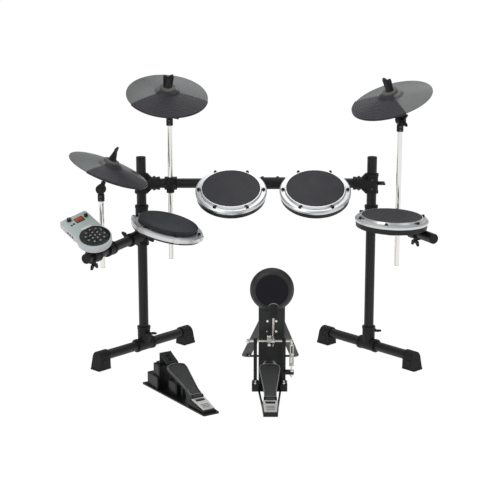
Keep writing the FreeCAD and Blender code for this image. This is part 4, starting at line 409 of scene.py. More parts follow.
def round_under(piece, by, steps):
    """Rounds the rim of the underside."""
    pick(piece, lambda c, n: n.z < -LEVEL)
    bpy.ops.mesh.bevel(offset=by, segments=steps)


key_screw = new_round("key_screw", radius=0.0058, low=-0.0002, high=0.0012, sides=28)
top_of(key_screw)
bpy.ops.mesh.inset(thickness=0.0009)
push(0.0044)
bpy.ops.mesh.inset(thickness=0.0011)
push(0.0012)
bpy.ops.mesh.bevel(offset=0.0005, segments=2)
close(key_screw, shell_black)

jack_nut = new_round("jack_nut", radius=0.0092, low=-0.0035, high=0.0, sides=6)
round_under(jack_nut, by=0.0006, steps=2)
close(jack_nut, zinc_dark)

# Each pad's head has its centre, its normal and its turn in degrees. The hoop's ledge and the
# shell's floor are heights from the head.
pads = (("tom_left", (-0.0590, 0.0760, 0.6620), (0.0, -0.4485, 0.8938), 0.0, -0.007, -0.038),
        ("tom_right", (0.2350, 0.0760, 0.6620), (0.0, -0.4485, 0.8938), 0.0, -0.007, -0.038),
        ("floor_tom", (0.4884, -0.0839, 0.6000), (0.0355, -0.0230, 0.9991), 15.0, -0.007, -0.038),
        ("snare", (-0.2718, -0.0239, 0.5660), (0.2401, -0.0650, 0.9686), -12.0, -0.015, -0.040))
for pad, head_at, head_normal, head_turn, ledge, pad_floor in pads:
    dress(shell_black, pad + "_shell")
    dress(hoop_chrome, pad + "_hoop")
    facing = math.radians(head_turn)
    pad_place = seat(head_at, (math.cos(facing), math.sin(facing), 0.0), head_normal)
    for count in range(KEY_SCREWS):
        turn = math.radians(360.0 * count / KEY_SCREWS)
        spot = seat((KEY_SCREW_RING * math.cos(turn), KEY_SCREW_RING * math.sin(turn), ledge), ACROSS, UP)
        copy_to(key_screw, "%s_key_screw_%d" % (pad, count), pad_place @ spot, pad)
    copy_to(jack_nut, pad + "_jack_nut", pad_place @ seat((JACK_X, 0.0, pad_floor), ACROSS, UP), pad)
discard(key_screw)
discard(jack_nut)


# Cymbal stands: chromed rods that slide in their clamps, closed by black plugs, with a nylon
# tilter on top. Grey felt washers sit under and over the bell, below a broad thumb nut.
TOP_FELT_RISE, LOW_FELT_RISE, LOW_FELT_SCALE = 0.102, 0.0912, (0.76, 0.76, 0.9, 1.0)
KNUCKLE_FRONT, LOCK_SCREW_DROPS = -0.0119, (0.024, 0.036)

rod_chrome = coating("rod_chrome", (0.80, 0.785, 0.75), rough=0.14, metallic=1.0, grain=300.0,
                     depth=0.00002, cloud=0.02, strength=0.06, sheen=0.02)
tilter_nylon = coating("tilter_nylon", (0.011, 0.011, 0.012), rough=0.5, grain=1200.0, depth=0.0002,
                       strength=0.45, shine=0.35)
felt_grey = coating("felt_grey", (0.15, 0.148, 0.135), rough=0.95, grain=2400.0, depth=0.0006, cloud=0.3,
                    strength=0.9)


def round_rims(piece, by, steps):
    """Rounds the rims of the top and the underside."""
    pick(piece, lambda c, n: abs(n.z) > LEVEL)
    bpy.ops.mesh.bevel(offset=by, segments=steps)


def face_outward():
    """Turns every face of the open piece outward."""
    bpy.ops.mesh.select_all(action="SELECT")
    bpy.ops.mesh.normals_make_consistent(inside=False)


def bore(piece, wall):
    """Opens a hole down a round piece, inside a wall of the given width."""
    pick(piece, lambda c, n: abs(n.z) > LEVEL)
    bpy.ops.mesh.inset(thickness=wall)
    bpy.ops.mesh.delete(type="FACE")
    bpy.ops.mesh.select_mode(type="EDGE")
    bpy.ops.mesh.select_non_manifold()
    bpy.ops.mesh.bridge_edge_loops()
    face_outward()


felt_washer = new_round("felt_washer", radius=0.0272, low=-0.0004, high=0.0092, sides=48)
round_rims(felt_washer, by=0.002, steps=4)
bore(felt_washer, wall=0.0197)
close(felt_washer, felt_grey)

rod_plug = new_round("rod_plug", radius=0.0089, low=-0.0012, high=0.004, sides=28)
round_under(rod_plug, by=0.0009, steps=3)
pick(rod_plug, lambda c, n: n.z < -LEVEL)
bpy.ops.mesh.inset(thickness=0.003)
push(0.0008)
close(rod_plug, tilter_nylon)

lock_screw = new_round("lock_screw", radius=0.0042, low=-0.0006, high=0.0034, sides=20)
round_top(lock_screw, by=0.0006, steps=2)
sink_top(lock_screw, rim=0.0015, depth=0.0018)
close(lock_screw, zinc_dark)

# Each stand has the tilter's pivot, the stem's foot, the cymbal's normal, the way that the
# cymbal's wedge faces, and the height of the rod's lower end.
stands = (("crash", (-0.2770, 0.1975, 0.9050), (-0.2905, 0.1939, 0.9050), (0.1000, -0.3798, 0.9196),
           (0.1386, -0.9903, 0.0), 0.379),
          ("ride", (0.5292, 0.1163, 0.8970), (0.5203, 0.1271, 0.8970), (-0.2890, -0.2392, 0.9269),
           (-0.7690, -0.6392, 0.0), 0.375),
          ("hihat", (-0.5083, 0.0287, 0.6680), (-0.5083, 0.0287, 0.6680), (0.3778, -0.0500, 0.9245),
           (0.6174, -0.7867, 0.0), 0.389))
for cymbal, pivot, stem_foot, normal, facing, rod_foot in stands:
    dress(rod_chrome, cymbal + "_rod")
    dress(tilter_nylon, cymbal + "_knuckle", cymbal + "_tilter")
    axis, stem, hinge = Vector(normal).normalized(), Vector(stem_foot), Vector(pivot)
    copy_to(felt_washer, cymbal + "_top_felt", seat(stem + axis * TOP_FELT_RISE, facing, axis),
            cymbal + "_pad")
    low = seat(stem + axis * LOW_FELT_RISE, facing, axis) @ Matrix.Diagonal(LOW_FELT_SCALE)
    copy_to(felt_washer, cymbal + "_low_felt", low, cymbal + "_pad")
    copy_to(rod_plug, cymbal + "_rod_plug", seat((pivot[0], pivot[1], rod_foot), ACROSS, UP),
            cymbal + "_stand")
    for count, drop in enumerate(LOCK_SCREW_DROPS):
        spot = seat(hinge + Vector((0.0, KNUCKLE_FRONT, -drop)), ACROSS, FRONT)
        copy_to(lock_screw, "%s_lock_screw_%d" % (cymbal, count), spot, cymbal + "_stand")
discard(felt_washer)
discard(rod_plug)
discard(lock_screw)


# Cymbals: grey moulded plastic with fine turned rings and a raised bell. A wedge of black rubber
# with concentric ribs is glued on the side that faces the player, and laps over the rim. The rib
# tops are paler, as a painted highlight.
PLASTIC_COLOUR, PLASTIC_ROUGH = (0.108, 0.113, 0.113), 0.30
RING_PITCH, RING_DEPTH, RING_STRENGTH = 0.0022, 0.00025, 0.25
# At a scale of one, the ring texture turns through this many radians in a metre.
WAVE_RATE = 20
CYMBAL_RISE = 0.075
CYMBAL_R, BELL_R, BOW = 0.1435, 0.045, 0.016
BOW_SINK = (CYMBAL_R ** 2 - BELL_R ** 2 - BOW ** 2) / (2 * BOW)
BELL_ARC_R, BELL_ARC_AT, BELL_ARC_SINK = 0.03103, 0.020566, 0.003125
GLUE = 0.00015
WEDGE_IN, WEDGE_OUT = 0.028, 0.1455
WEDGE_SPAN = {"crash": (-62.5, 76.0), "ride": (-70.0, 62.5), "hihat": (-62.5, 62.5)}
WEDGE_STEPS = 48
RIBS, RIB_STEPS = 16, 4
# Rib tops above a rise and from a radius take a paler rubber, as a painted highlight.
RIB_RISE, GROOVE_RISE, RIB_HIGHLIGHT_RISE = 0.0030, 0.0014, 0.0026
RIBS_FROM, RIB_HIGHLIGHT_FROM = BELL_R + 0.003, BELL_R + 0.004
RIM_LIP_R, RIM_LIP_TOP, RIM_LIP_H = 0.1452, 0.0012, 0.0045


def turned_plastic(name, place):
    """Plastic with fine rings round a cymbal's own axis."""
    mat = coating(name, PLASTIC_COLOUR, PLASTIC_ROUGH, grain=900.0, depth=0.00012, cloud=0.14)
    net = mat.node_tree
    shader = net.nodes["Principled BSDF"]
    coords = next(n for n in net.nodes if n.type == "TEX_COORD")
    grain = next(n for n in net.nodes if n.type == "BUMP")
    centre = net.nodes.new("ShaderNodeMapping")
    centre.vector_type = "TEXTURE"
    centre.inputs["Location"].default_value = place.to_translation()
    centre.inputs["Rotation"].default_value = place.to_euler()
    rings = net.nodes.new("ShaderNodeTexWave")
    rings.wave_type = "RINGS"
    rings.rings_direction = "Z"
    rings.inputs["Scale"].default_value = 2 * math.pi / (WAVE_RATE * RING_PITCH)
    rings.inputs["Distortion"].default_value = 0.4
    rings.inputs["Detail"].default_value = 1.0
    bump = net.nodes.new("ShaderNodeBump")
    bump.inputs["Strength"].default_value = RING_STRENGTH
    bump.inputs["Distance"].default_value = RING_DEPTH
    net.links.new(coords.outputs["Object"], centre.inputs["Vector"])
    net.links.new(centre.outputs["Vector"], rings.inputs["Vector"])
    net.links.new(rings.outputs["Fac"], bump.inputs["Height"])
    net.links.new(grain.outputs["Normal"], bump.inputs["Normal"])
    net.links.new(bump.outputs["Normal"], shader.inputs["Normal"])
    return mat


def wedge_seat(r):
    """Height of the cymbal's bow or bell at a radius, with a thin film of glue on it."""
    if r > BELL_R:
        return math.sqrt(CYMBAL_R ** 2 + BOW_SINK ** 2 - r * r) - BOW_SINK + GLUE
    return math.sqrt(BELL_ARC_R ** 2 - (r - BELL_ARC_AT) ** 2) - BELL_ARC_SINK + GLUE


def wedge_point(share, over):
    """Point of the wedge's section, on the bell and bow or on its ribbed top."""
    if share > 0.99:
        return (RIM_LIP_R, 0.0, RIM_LIP_TOP if over else -RIM_LIP_H)
    r = WEDGE_IN + (WEDGE_OUT - WEDGE_IN) * share
    step = round(share * RIBS * RIB_STEPS) % RIB_STEPS
    ribbed = share > 0.01 and (step in (2, 3) or r < RIBS_FROM)
    rise = RIB_RISE if ribbed else GROOVE_RISE
    return (r, 0.0, wedge_seat(r) + (rise if over else 0.0))


wedge_rubber = coating("wedge_rubber", (0.027, 0.026, 0.033), rough=0.45, grain=1300.0, depth=0.0001,
                       cloud=0.1, shine=0.4)
# Paler rubber for the rib tops: a painted highlight.
rib_highlight_rubber = coating("rib_highlight_rubber", (0.046, 0.045, 0.053), rough=0.45, grain=1300.0, depth=0.0001, cloud=0.1,
                     shine=0.4)
for cymbal, _, stem_foot, normal, facing, _ in stands:
    axis = Vector(normal).normalized()
    place = seat(Vector(stem_foot) + axis * CYMBAL_RISE, facing, axis)
    dress(turned_plastic(cymbal + "_plastic", place), cymbal + "_cymbal")
    bpy.ops.object.select_all(action="DESELECT")
    bpy.ops.mesh.primitive_grid_add(x_subdivisions=RIBS * RIB_STEPS, y_subdivisions=1, size=1.0)
    wedge = begin(cymbal + "_ribbed_wedge")
    bpy.ops.object.mode_set(mode="OBJECT")
    for vertex in wedge.data.vertices:
        vertex.co = wedge_point(vertex.co.x + 0.5, vertex.co.y > 0)
    wedge_from, wedge_to = (math.radians(turn) for turn in WEDGE_SPAN[cymbal])
    wedge.data.transform(Matrix.Rotation(wedge_from, 4, "Z"))
    bpy.ops.object.mode_set(mode="EDIT")
    bpy.ops.mesh.select_all(action="SELECT")
    bpy.ops.mesh.spin(steps=WEDGE_STEPS, angle=wedge_from - wedge_to, center=(0.0, 0.0, 0.0), axis=UP)
    bpy.ops.mesh.select_all(action="SELECT")
    bpy.ops.mesh.remove_doubles(threshold=0.000005)
    bpy.ops.mesh.normals_make_consistent(inside=False)
    close(wedge, wedge_rubber, smooth=50.0)
    # Faces high on the ribs take the paler rubber, a painted highlight.
    wedge.data.materials.append(rib_highlight_rubber)
    for face in wedge.data.polygons:
        r = math.hypot(face.center.x, face.center.y)
        if r > RIB_HIGHLIGHT_FROM and face.center.z - wedge_seat(r) > RIB_HIGHLIGHT_RISE:
            face.material_index = 1
    keep(wedge, place, cymbal + "_pad")
    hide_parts(cymbal + "_rubber")


# Sound module: silver moulded case with a pale green face plate, which holds an orange display
# behind a dark bezel, a round black keypad with grey rubber keys, and two fluted knobs. Behind
# are a belly with a battery bulge, and the black bracket and boss that it tilts on.
MODULE_AT = (-0.5450, -0.1040, 0.5550)
MODULE_ACROSS, MODULE_NORMAL = (0.7881, 0.5504, 0.2755), (0.0040, -0.4522, 0.8919)
CASE_DEPTH, CASE_RECESS = 0.024, 0.0085
CASE_CORNER_X, CASE_CORNER_Y, CASE_CORNER_R = 0.045, 0.084, 0.008
CASE_ROUND_Y, CASE_ROUND_R, CASE_ROUND_FROM, CASE_ROUND_SPAN = -0.045, 0.059, 153.94, 232.12
KEYPAD_AT, KEYPAD_R = (0.0035, -0.0430), 0.0525
KEY_MIDDLE, KEY_RINGS = (0.006, -0.040), ((0.0, 1), (0.0165, 6), (0.033, 10))
SIDE_KEYS = [(-0.029, 0.050), (-0.019, 0.052)]
VOLUME_AT, VALUE_AT, FLUTES = (-0.022, 0.077), (0.036, 0.062), 24
BAR_LEVELS, BAR_LEFT, BAR_FOOT = (3, 5, 4, 6, 2, 5), -0.0022, 0.0535
BAR_PITCH, BAR_WIDTH, BAR_STEP = 0.0041, 0.0024, 0.0021
TICKS, TICK_FROM, TICK_TURN = 7, -135, 45
SOCKET_X, SOCKET_Z, SOCKET_YS = -0.053, -0.013, (0.010, 0.024, 0.038)
CASE_SCREWS = ((-0.037, 0.014, -0.0357), (0.037, 0.014, -0.0357),
               (-0.03, -0.075, -0.0237), (0.03, -0.075, -0.0237))

case_silver = coating("case_silver", (0.66, 0.67, 0.69), rough=0.42, grain=1100.0, depth=0.00012,
                      cloud=0.04, strength=0.3)
face_mint = coating("face_mint", (0.56, 0.66, 0.62), rough=0.33, grain=700.0, depth=0.00006, cloud=0.04,
                    strength=0.2)
keypad_black = coating("keypad_black", (0.014, 0.014, 0.015), rough=0.28, grain=900.0, depth=0.00006)
key_grey = coating("key_grey", (0.30, 0.31, 0.31), rough=0.55, grain=1500.0, depth=0.0001, cloud=0.25)
knob_black = coating("knob_black", (0.018, 0.018, 0.019), rough=0.42, grain=1500.0, depth=0.0001)
mark_white = coating("mark_white", (0.84, 0.85, 0.84), rough=0.5, grain=1500.0, depth=0.00005, cloud=0.05)
screen_orange = coating("screen_orange", (0.50, 0.070, 0.018), rough=0.22, grain=900.0, depth=0.00002,
                        cloud=0.12)
glow = screen_orange.node_tree.nodes["Principled BSDF"]
glow.inputs["Emission Color"].default_value = (0.50, 0.065, 0.015, 1.0)
glow.inputs["Emission Strength"].default_value = 0.35
dress(face_mint, "module_face")
module = seat(MODULE_AT, MODULE_ACROSS, MODULE_NORMAL)


def arc(x, y, radius, start, span, steps):
    """Points round a centre, from a start angle and over a span in degrees."""
    turns = [math.radians(start + span * count / steps) for count in range(steps + 1)]
    return [(x + radius * math.cos(turn), y + radius * math.sin(turn)) for turn in turns]


def drawn_disc(name, outline, z):
    """Flat face with the given outline, drawn from a disc and left open for editing."""
    bpy.ops.object.select_all(action="DESELECT")
    bpy.ops.mesh.primitive_circle_add(vertices=len(outline), radius=0.1, fill_type="NGON")
    disc = begin(name)
    bpy.ops.object.mode_set(mode="OBJECT")
    for vertex, (x, y) in zip(disc.data.vertices, outline):
        vertex.co = (x, y, z)
    bpy.ops.object.mode_set(mode="EDIT")
    face_outward()
    return disc


def shift(piece, x, y):
    """Moves a piece level."""
    piece.data.transform(Matrix.Translation((x, y, 0.0)))


def joined(pieces):
    """Makes one piece of several."""
    bpy.ops.object.select_all(action="DESELECT")
    for piece in pieces:
        piece.select_set(True)
    bpy.context.view_layer.objects.active = pieces[0]
    bpy.ops.object.join()
    return bpy.context.object


case_outline = (arc(CASE_CORNER_X, CASE_CORNER_Y, CASE_CORNER_R, 0.0, 90.0, 6)
                + arc(-CASE_CORNER_X, CASE_CORNER_Y, CASE_CORNER_R, 90.0, 90.0, 6)
                + arc(0.0, CASE_ROUND_Y, CASE_ROUND_R, CASE_ROUND_FROM, CASE_ROUND_SPAN, 48))
case = drawn_disc("module_case_shell", case_outline, -CASE_DEPTH)
push(CASE_DEPTH)
face_outward()
round_under(case, by=0.004, steps=4)
round_top(case, by=0.0008, steps=2)
sink_top(case, rim=0.0022, depth=CASE_RECESS)
keep(close(case, case_silver), module, "module")
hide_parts("module_case")
for bulge_name, low, high in (("module_case_belly", (-0.047, 0.004, -0.036), (0.047, 0.087, -0.022)),
                              ("battery_bulge", (-0.040, 0.022, -0.048), (0.040, 0.078, -0.034))):
    bulge = new_block(bulge_name, low, high)
    round_corners(bulge, by=0.006, steps=4)
    round_under(bulge, by=0.003, steps=3)
    keep(close(bulge, case_silver), module, "module")
bracket = new_block("tilt_bracket", low=(-0.030, -0.056, -0.036), high=(0.030, 0.006, -0.0235))
round_corners(bracket, by=0.012, steps=5)
round_under(bracket, by=0.003, steps=3)
keep(close(bracket, nylon_black), module, "module")
boss = new_round("tilt_boss", radius=0.020, low=-0.0438, high=-0.030, sides=48)
round_under(boss, by=0.0012, steps=3)
keep(close(boss, nylon_black), module, "module")

pad_keys = []
for ring_r, ring_count in KEY_RINGS:
    for count in range(ring_count):
        turn = 2 * math.pi * count / ring_count + math.pi / 2
        pad_keys.append((KEY_MIDDLE[0] + ring_r * math.cos(turn), KEY_MIDDLE[1] + ring_r * math.sin(turn)))

keypad = new_round("keypad_plate", radius=KEYPAD_R, low=-0.0002, high=0.0007, sides=72)
round_top(keypad, by=0.0004, steps=2)
close(keypad, keypad_black)
shift(keypad, *KEYPAD_AT)
cutters = []
for count, key_at in enumerate(pad_keys):
    cutter = new_round("key_cutter_%d" % count, radius=0.0041, low=-0.002, high=0.002, sides=24)
    close(cutter, keypad_black)
    shift(cutter, *key_at)
    cutters.append(cutter)
punch = joined(cutters)
bpy.ops.object.select_all(action="DESELECT")
keypad.select_set(True)
bpy.context.view_layer.objects.active = keypad
holes = keypad.modifiers.new("key_holes", "BOOLEAN")
holes.operation = "DIFFERENCE"
holes.object = punch
bpy.ops.object.modifier_apply(modifier="key_holes")
discard(punch)
keep(keypad, module, "module")

key_cap = new_round("key_cap", radius=0.0037, low=-0.0022, high=0.0020, sides=28)
round_top(key_cap, by=0.0011, steps=4)
top_of(key_cap)
bpy.ops.mesh.inset(thickness=0.0007, depth=-0.0002)
close(key_cap, key_grey)
caps = []
for count, key_at in enumerate(SIDE_KEYS + pad_keys):
    cap = bpy.data.objects.new("key_cap_%d" % count, key_cap.data.copy())
    shift(cap, *key_at)
    cap.data.materials[0] = knob_black if key_at in SIDE_KEYS else key_grey
    scene.collection.objects.link(cap)
    caps.append(cap)
discard(key_cap)
key_set = joined(caps)
key_set.name = "key_set"
key_set.select_set(False)
keep(key_set, module, "buttons")
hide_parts("module_buttons")

for knob, knob_body, (x, y), radius, height in (("volume_knob", "volume", VOLUME_AT, 0.008, 0.009),
                                                ("value_dial", "value", VALUE_AT, 0.0065, 0.010)):
    fluted = new_round(knob + "_fluted", radius, low=0.0003, high=height, sides=2 * FLUTES)
    pick(fluted, lambda c, n: abs(n.z) < 0.5
         and round(math.atan2(n.y, n.x) * FLUTES / math.pi - 0.5) % 2 == 0)
    bpy.ops.mesh.inset(thickness=0.0001, depth=-0.0004, use_individual=True)
    top_of(fluted)
    bpy.ops.mesh.inset(thickness=radius * 0.14)
    push(0.0006)
    bpy.ops.mesh.inset(thickness=radius * 0.12)
    push(-0.0004)
    close(fluted, knob_black)
    shift(fluted, x, y)
    keep(fluted, module, knob_body)
    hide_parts(knob)
    pointer = new_block(knob + "_pointer", (x - 0.0005, y + radius * 0.1, height),
                        (x + 0.0005, y + radius * 0.8, height + 0.0009))
    round_top(pointer, by=0.0002, steps=2)
    keep(close(pointer, mark_white), module, knob_body)

bezel = new_block("display_bezel", low=(-0.0075, 0.0485, -0.0004), high=(0.0255, 0.0735, 0.0011))
round_corners(bezel, by=0.002, steps=4)
sink_top(bezel, rim=0.0030, depth=0.0012)
keep(close(bezel, keypad_black), module, "module")
screen = new_block("display_screen", low=(-0.0048, 0.0512, -0.0008), high=(0.0228, 0.0708, 0.0004))
top_of(screen)
bpy.ops.mesh.inset(thickness=0.0006, depth=0.0001)
keep(close(screen, screen_orange), module, "module")
for count, level in enumerate(BAR_LEVELS):
    left = BAR_LEFT + count * BAR_PITCH
    bar = new_block("display_bar_%d" % count, (left, BAR_FOOT, 0.0003),
                    (left + BAR_WIDTH, BAR_FOOT + level * BAR_STEP, 0.0007))
    round_top(bar, by=0.0001, steps=1)
    keep(close(bar, keypad_black), module, "module")

bare_plate = new_block("bare_plate", low=(-0.014, 0.006, -0.0002), high=(0.024, 0.017, 0.0016))
round_corners(bare_plate, by=0.0012, steps=4)
top_of(bare_plate)
bpy.ops.mesh.inset(thickness=0.0006, depth=0.0002)
keep(close(bare_plate, mark_white), module, "module")

tick = new_block("dial_tick", low=(-0.0003, 0.0098, -0.0001), high=(0.0003, 0.0116, 0.0002))
round_top(tick, by=0.00008, steps=1)
close(tick, keypad_black)
for count in range(TICKS):
    turn = math.radians(TICK_FROM + TICK_TURN * count)
    spot = Matrix.Translation((*VOLUME_AT, 0.0)) @ Matrix.Rotation(turn, 4, "Z")
    copy_to(tick, "volume_tick_%d" % count, module @ spot, "module")
discard(tick)

socket = new_round("module_socket", radius=0.0044, low=-0.0004, high=0.0010, sides=28)
round_top(socket, by=0.0005, steps=2)
sink_top(socket, rim=0.0014, depth=0.0010)
close(socket, knob_black)
for count, y in enumerate(SOCKET_YS):
    spot = seat((SOCKET_X, y, SOCKET_Z), BACK, LEFTWARD)
    copy_to(socket, "module_socket_%d" % count, module @ spot, "module")
discard(socket)
for count, screw_at in enumerate(CASE_SCREWS):
    copy_to(socket_bolt, "case_screw_%d" % count, module @ seat(screw_at, ACROSS, DOWN), "module")
discard(socket_bolt)


# Kick tower: folded steel column painted dark grey, on a welded brace painted black. A dished
# plastic pad with a navy rubber face is screwed to it, and a soft welt runs round the face.
WELT_AT = (0.082, -0.1265, 0.347)

tower_grey = coating("tower_grey", (0.019, 0.020, 0.020), rough=0.44, grain=900.0, depth=0.00015,
                     shine=0.35)
pad_ring_black = coating("pad_ring_black", (0.027, 0.028, 0.028), rough=0.42, grain=1200.0, depth=0.0002,
                         strength=0.4, shine=0.4)
navy_rubber = coating("navy_rubber", (0.006, 0.0055, 0.0095), rough=0.62, grain=1400.0, depth=0.0002,
                      strength=0.5, shine=0.25)
pedal_black = coating("pedal_black", (0.009, 0.0095, 0.0095), rough=0.42, grain=900.0, depth=0.00015,
                      shine=0.3)
dress(tower_grey, "kick_column")
dress(pedal_black, "kick_brace")
dress(pad_ring_black, "kick_pad_shell")
dress(navy_rubber, "kick_pad_face")

welt = new_round("kick_pad_welt", radius=0.0590, low=-0.001, high=0.0012, sides=96)
round_top(welt, by=0.0006, steps=3)
bore(welt, wall=0.0022)
close(welt, pad_ring_black)
keep(welt, seat(WELT_AT, ACROSS, FRONT), "rack")


# Kick pedal: painted frame and footboard with plated axle, spring and screws, a felt beater and
# a pull strap. A pale strip on the footboard's rim and pale wings at its toe are a painted
# highlight. On its cast heel plate, a black pad is painted shade in the slot, and three dark strips
# are painted shade in the grooves between the ribs.
BOARD_HEEL, BOARD_NECK, BOARD_SHOULDER = (0.0204, 0.0078), (0.0204, 0.034), (0.0351, 0.143)
TOE_ARC_Y, TOE_ARC_R, TOE_ARC_FROM, TOE_ARC_SPAN = 0.1099, 0.0591, 56.55, 66.9
BOARD_TOP, EDGE_WIDTH, EDGE_RISE = 0.0049, 0.0013, 0.0005
KICK_BOARD_AT, BOARD_NORMAL = (0.074, -0.338, 0.033), (0.0, -0.4067, 0.9135)
WING_FAR, WING_TIP, WING_FRONT, WING_BACK = 0.0240, 0.0152, 0.1715, 0.1890
GROOVE_SHADE_YS = (0.0189, 0.0279, 0.0369)
KICK_HEEL_AT, KICK_HEEL_RISE, KICK_HEEL_RUN = (0.074, -0.417, 0.012), 0.017, 0.0722
KICK_SLOT_Y = 0.0742
BASE_BOLT_XS, BASE_BOLT_Y, BASE_BOLT_Z = (0.025, 0.123), -0.1645, 0.0262
BALL_AT, BALL_R, BALL_FLAT = (0.072, -0.1835, 0.172), 0.0058, 0.0046
END_KNOB_AT = (0.0045, -0.149, 0.175)
BEATER_RING_AT, BEATER_RING_NORMAL = (0.085, -0.2586, 0.3315), (0.0, 0.7547, 0.6561)

board_grey = coating("board_grey", (0.033, 0.034, 0.034), rough=0.42, grain=330.0, depth=0.0006,
                     strength=0.6, shine=0.4)
plated_steel = coating("plated_steel", (0.72, 0.70, 0.66), rough=0.24, metallic=1.0, grain=700.0,
                       depth=0.00004, cloud=0.04, sheen=0.04)
heel_metal = coating("heel_metal", (0.68, 0.67, 0.65), rough=0.36, metallic=0.2, grain=900.0, depth=0.00006,
                     cloud=0.05)
# Pale grey: a painted highlight on the footboards' rims and toe wings, and the own colour of the beater
# ring.
edge_highlight_and_ring_grey = coating("edge_highlight_and_ring_grey", (0.34, 0.34, 0.34), rough=0.35, metallic=0.1, grain=900.0,
                      depth=0.00004, cloud=0.06)
strap_black = coating("strap_black", (0.012, 0.012, 0.012), rough=0.8, grain=1600.0, depth=0.0003,
                      strength=0.7)
beater_felt = coating("beater_felt", (0.012, 0.012, 0.013), rough=0.9, grain=2200.0, depth=0.0005,
                      strength=0.8)
dress(pedal_black, "kick_pedal_frame")
dress(board_grey, "kick_footboard")
dress(plated_steel, "kick_spring", "kick_fittings", "kick_axle")
dress(heel_metal, "kick_heel_plate")
dress(strap_black, "kick_strap")
dress(beater_felt, "kick_beater_head")


def board_edge_highlight(name):
    """Pale strip on a footboard's rim as a painted highlight, cut from a disc drawn out to the board's
    outline.
    """
    right = [BOARD_HEEL, BOARD_NECK, BOARD_SHOULDER]
    toe = arc(0.0, TOE_ARC_Y, TOE_ARC_R, TOE_ARC_FROM, TOE_ARC_SPAN, 18)
    strip = drawn_disc(name, right + toe + [(-x, y) for x, y in reversed(right)], BOARD_TOP)
    bpy.ops.mesh.inset(thickness=EDGE_WIDTH)
    bpy.ops.mesh.delete(type="FACE")
    bpy.ops.mesh.select_all(action="SELECT")
    push(EDGE_RISE)
    face_outward()
    return close(strip, edge_highlight_and_ring_grey)


kick_board = seat(KICK_BOARD_AT, ACROSS, BOARD_NORMAL)
keep(board_edge_highlight("kick_board_edge"), kick_board, "kick_board")
# Pale wings at the toe's corners: a painted highlight on the toe's edge.
for side_name, side, near in (("left", -1.0, 0.0140), ("right", 1.0, 0.0100)):
    wing = new_block("toe_highlight_wing_" + side_name, (side * WING_FAR, WING_FRONT, -0.0003),
                     (side * near, WING_BACK, 0.0008))
    bpy.ops.object.mode_set(mode="OBJECT")
    for vertex in wing.data.vertices:
        if abs(vertex.co.x) > (near + WING_FAR) / 2 and vertex.co.y > (WING_FRONT + WING_BACK) / 2:
            vertex.co.x = side * WING_TIP
    bpy.ops.object.mode_set(mode="EDIT")
    face_outward()
    round_top(wing, by=0.0005, steps=2)
    keep(close(wing, edge_highlight_and_ring_grey), kick_board, "kick_board")

# Black pad in the heel plate's slot: painted shade.
slot_shade_pad = new_block("heel_slot_shade_pad", low=(-0.0165, -0.0200, 0.0010), high=(0.0165, -0.0050, 0.0034))
round_corners(slot_shade_pad, by=0.002, steps=3)
sink_top(slot_shade_pad, rim=0.0016, depth=0.0008)
close(slot_shade_pad, shoe_rubber)
# Dark strip between two ribs of the heel plate: painted shade in the groove.
groove_shade_strip = new_block("heel_tread_strip", low=(-0.0140, -0.0011, 0.0026), high=(0.0140, 0.0011, 0.0038))
round_top(groove_shade_strip, by=0.0005, steps=2)
close(groove_shade_strip, shoe_rubber)


def dress_heel(name, front, slope, slot_y):
    """Lays a black pad as painted shade in the slot, and three dark strips as painted shade in the
    grooves between the ribs, on a sloping heel plate.
    """
    plate = front @ Matrix.Rotation(slope, 4, "X")
    copy_to(slot_shade_pad, name + "_slot_shade_pad", plate @ Matrix.Translation((0.0, slot_y, 0.0)), "rack")
    for count, y in enumerate(GROOVE_SHADE_YS):
        copy_to(groove_shade_strip, "%s_tread_strip_%d" % (name, count), plate @ Matrix.Translation((0.0, y, 0.0)),
                "rack")


kick_heel = seat(KICK_HEEL_AT, ACROSS, UP)
dress_heel("kick_heel", kick_heel, math.atan2(KICK_HEEL_RISE, KICK_HEEL_RUN), KICK_SLOT_Y)

base_bolt = new_round("base_bolt", radius=0.0055, low=-0.0005, high=0.004, sides=6)
top_of(base_bolt)
bpy.ops.mesh.inset(thickness=0.0018)
push(0.009)
round_top(base_bolt, by=0.0007, steps=2)
close(base_bolt, plated_steel)
for count, x in enumerate(BASE_BOLT_XS):
    copy_to(base_bolt, "pedal_base_bolt_%d" % count, seat((x, BASE_BOLT_Y, BASE_BOLT_Z), ACROSS, UP),
            "rack")
discard(base_bolt)

bpy.ops.object.select_all(action="DESELECT")
bpy.ops.mesh.primitive_uv_sphere_add(segments=32, ring_count=16, radius=BALL_R)
ball = begin("strap_ball_screw")
pick(ball, lambda c, n: c.z > BALL_FLAT)
bpy.ops.mesh.delete(type="FACE")
bpy.ops.mesh.select_mode(type="EDGE")
bpy.ops.mesh.select_non_manifold()
bpy.ops.mesh.edge_face_add()
bpy.ops.mesh.select_mode(type="FACE")
bpy.ops.mesh.inset(thickness=0.0008)
push(-0.0015)
keep(close(ball, plated_steel), seat(BALL_AT, ACROSS, FRONT), "kick_pull_strap")

end_knob = new_round("axle_end_knob", radius=0.0075, low=0.0, high=0.010, sides=40)
round_rims(end_knob, by=0.0024, steps=4)
top_of(end_knob)
bpy.ops.mesh.inset(thickness=0.002, depth=-0.0006)
keep(close(end_knob, plated_steel), seat(END_KNOB_AT, BACK, LEFTWARD), "kick_beater")

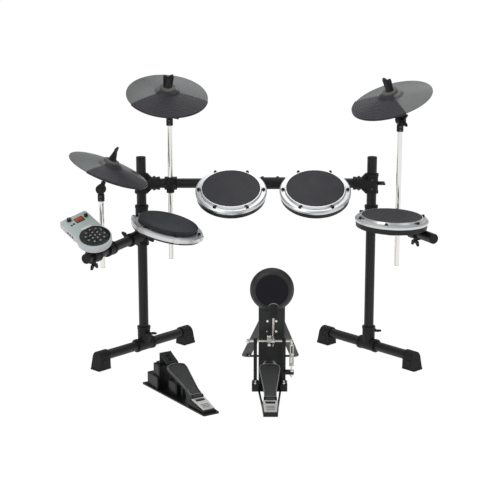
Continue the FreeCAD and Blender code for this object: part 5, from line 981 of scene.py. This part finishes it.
beater_ring = new_round("beater_ring", radius=0.0160, low=-0.0016, high=0.0006, sides=48)
round_rims(beater_ring, by=0.0006, steps=2)
sink_top(beater_ring, rim=0.003, depth=0.0005)
keep(close(beater_ring, edge_highlight_and_ring_grey), seat(BEATER_RING_AT, ACROSS, BEATER_RING_NORMAL),
     "kick_beater")


# Hi-hat pedal: pressed sole with a stepped plastic tower, a spring box under the board's toe and
# a bracket over it with two rubber grommets. Its board, the painted highlight on its rim, and its heel
# plate with painted shade in the slot and grooves match those of the kick pedal.
HIHAT_ACROSS, HIHAT_SOLE_AT = (0.8504, 0.5262, 0.0), (-0.119, -0.398, 0.0)
HIHAT_BOARD_AT, HIHAT_BOARD_NORMAL = (-0.1700, -0.3155, 0.034), (0.2140, -0.3459, 0.9135)
HIHAT_HEEL_Y, HIHAT_HEEL_Z, HIHAT_HEEL_RISE, HIHAT_HEEL_RUN = 0.012, 0.012, 0.017, 0.0782
HIHAT_SLOT_Y = 0.0800
GROMMETS = ((0.2965, 0.1213), (0.2790, 0.1135))

dress(pedal_black, "hihat_pedal_base")
dress(board_grey, "hihat_footboard")
dress(heel_metal, "hihat_heel_plate")
hihat_board = seat(HIHAT_BOARD_AT, HIHAT_ACROSS, HIHAT_BOARD_NORMAL)
keep(board_edge_highlight("hihat_board_edge"), hihat_board, "hihat_board")
hihat_sole = seat(HIHAT_SOLE_AT, HIHAT_ACROSS, UP)

hihat_heel = hihat_sole @ Matrix.Translation((0.0, HIHAT_HEEL_Y, HIHAT_HEEL_Z))
dress_heel("hihat_heel", hihat_heel, math.atan2(HIHAT_HEEL_RISE, HIHAT_HEEL_RUN), HIHAT_SLOT_Y)
discard(slot_shade_pad)
discard(groove_shade_strip)

spring_box = new_block("spring_box", low=(-0.019, 0.206, 0.0045), high=(0.019, 0.264, 0.050))
round_corners(spring_box, by=0.006, steps=4)
round_top(spring_box, by=0.002, steps=3)
keep(close(spring_box, pedal_black), hihat_sole, "rack")

grommet = new_round("bracket_grommet", radius=0.0075, low=-0.0002, high=0.0013, sides=36)
round_top(grommet, by=0.0006, steps=3)
bore(grommet, wall=0.0018)
close(grommet, shoe_rubber)
for count, (y, z) in enumerate(GROMMETS):
    spot = seat((0.0, y, z), ACROSS, BOARD_NORMAL)
    copy_to(grommet, "bracket_grommet_%d" % count, hihat_sole @ spot, "rack")
discard(grommet)
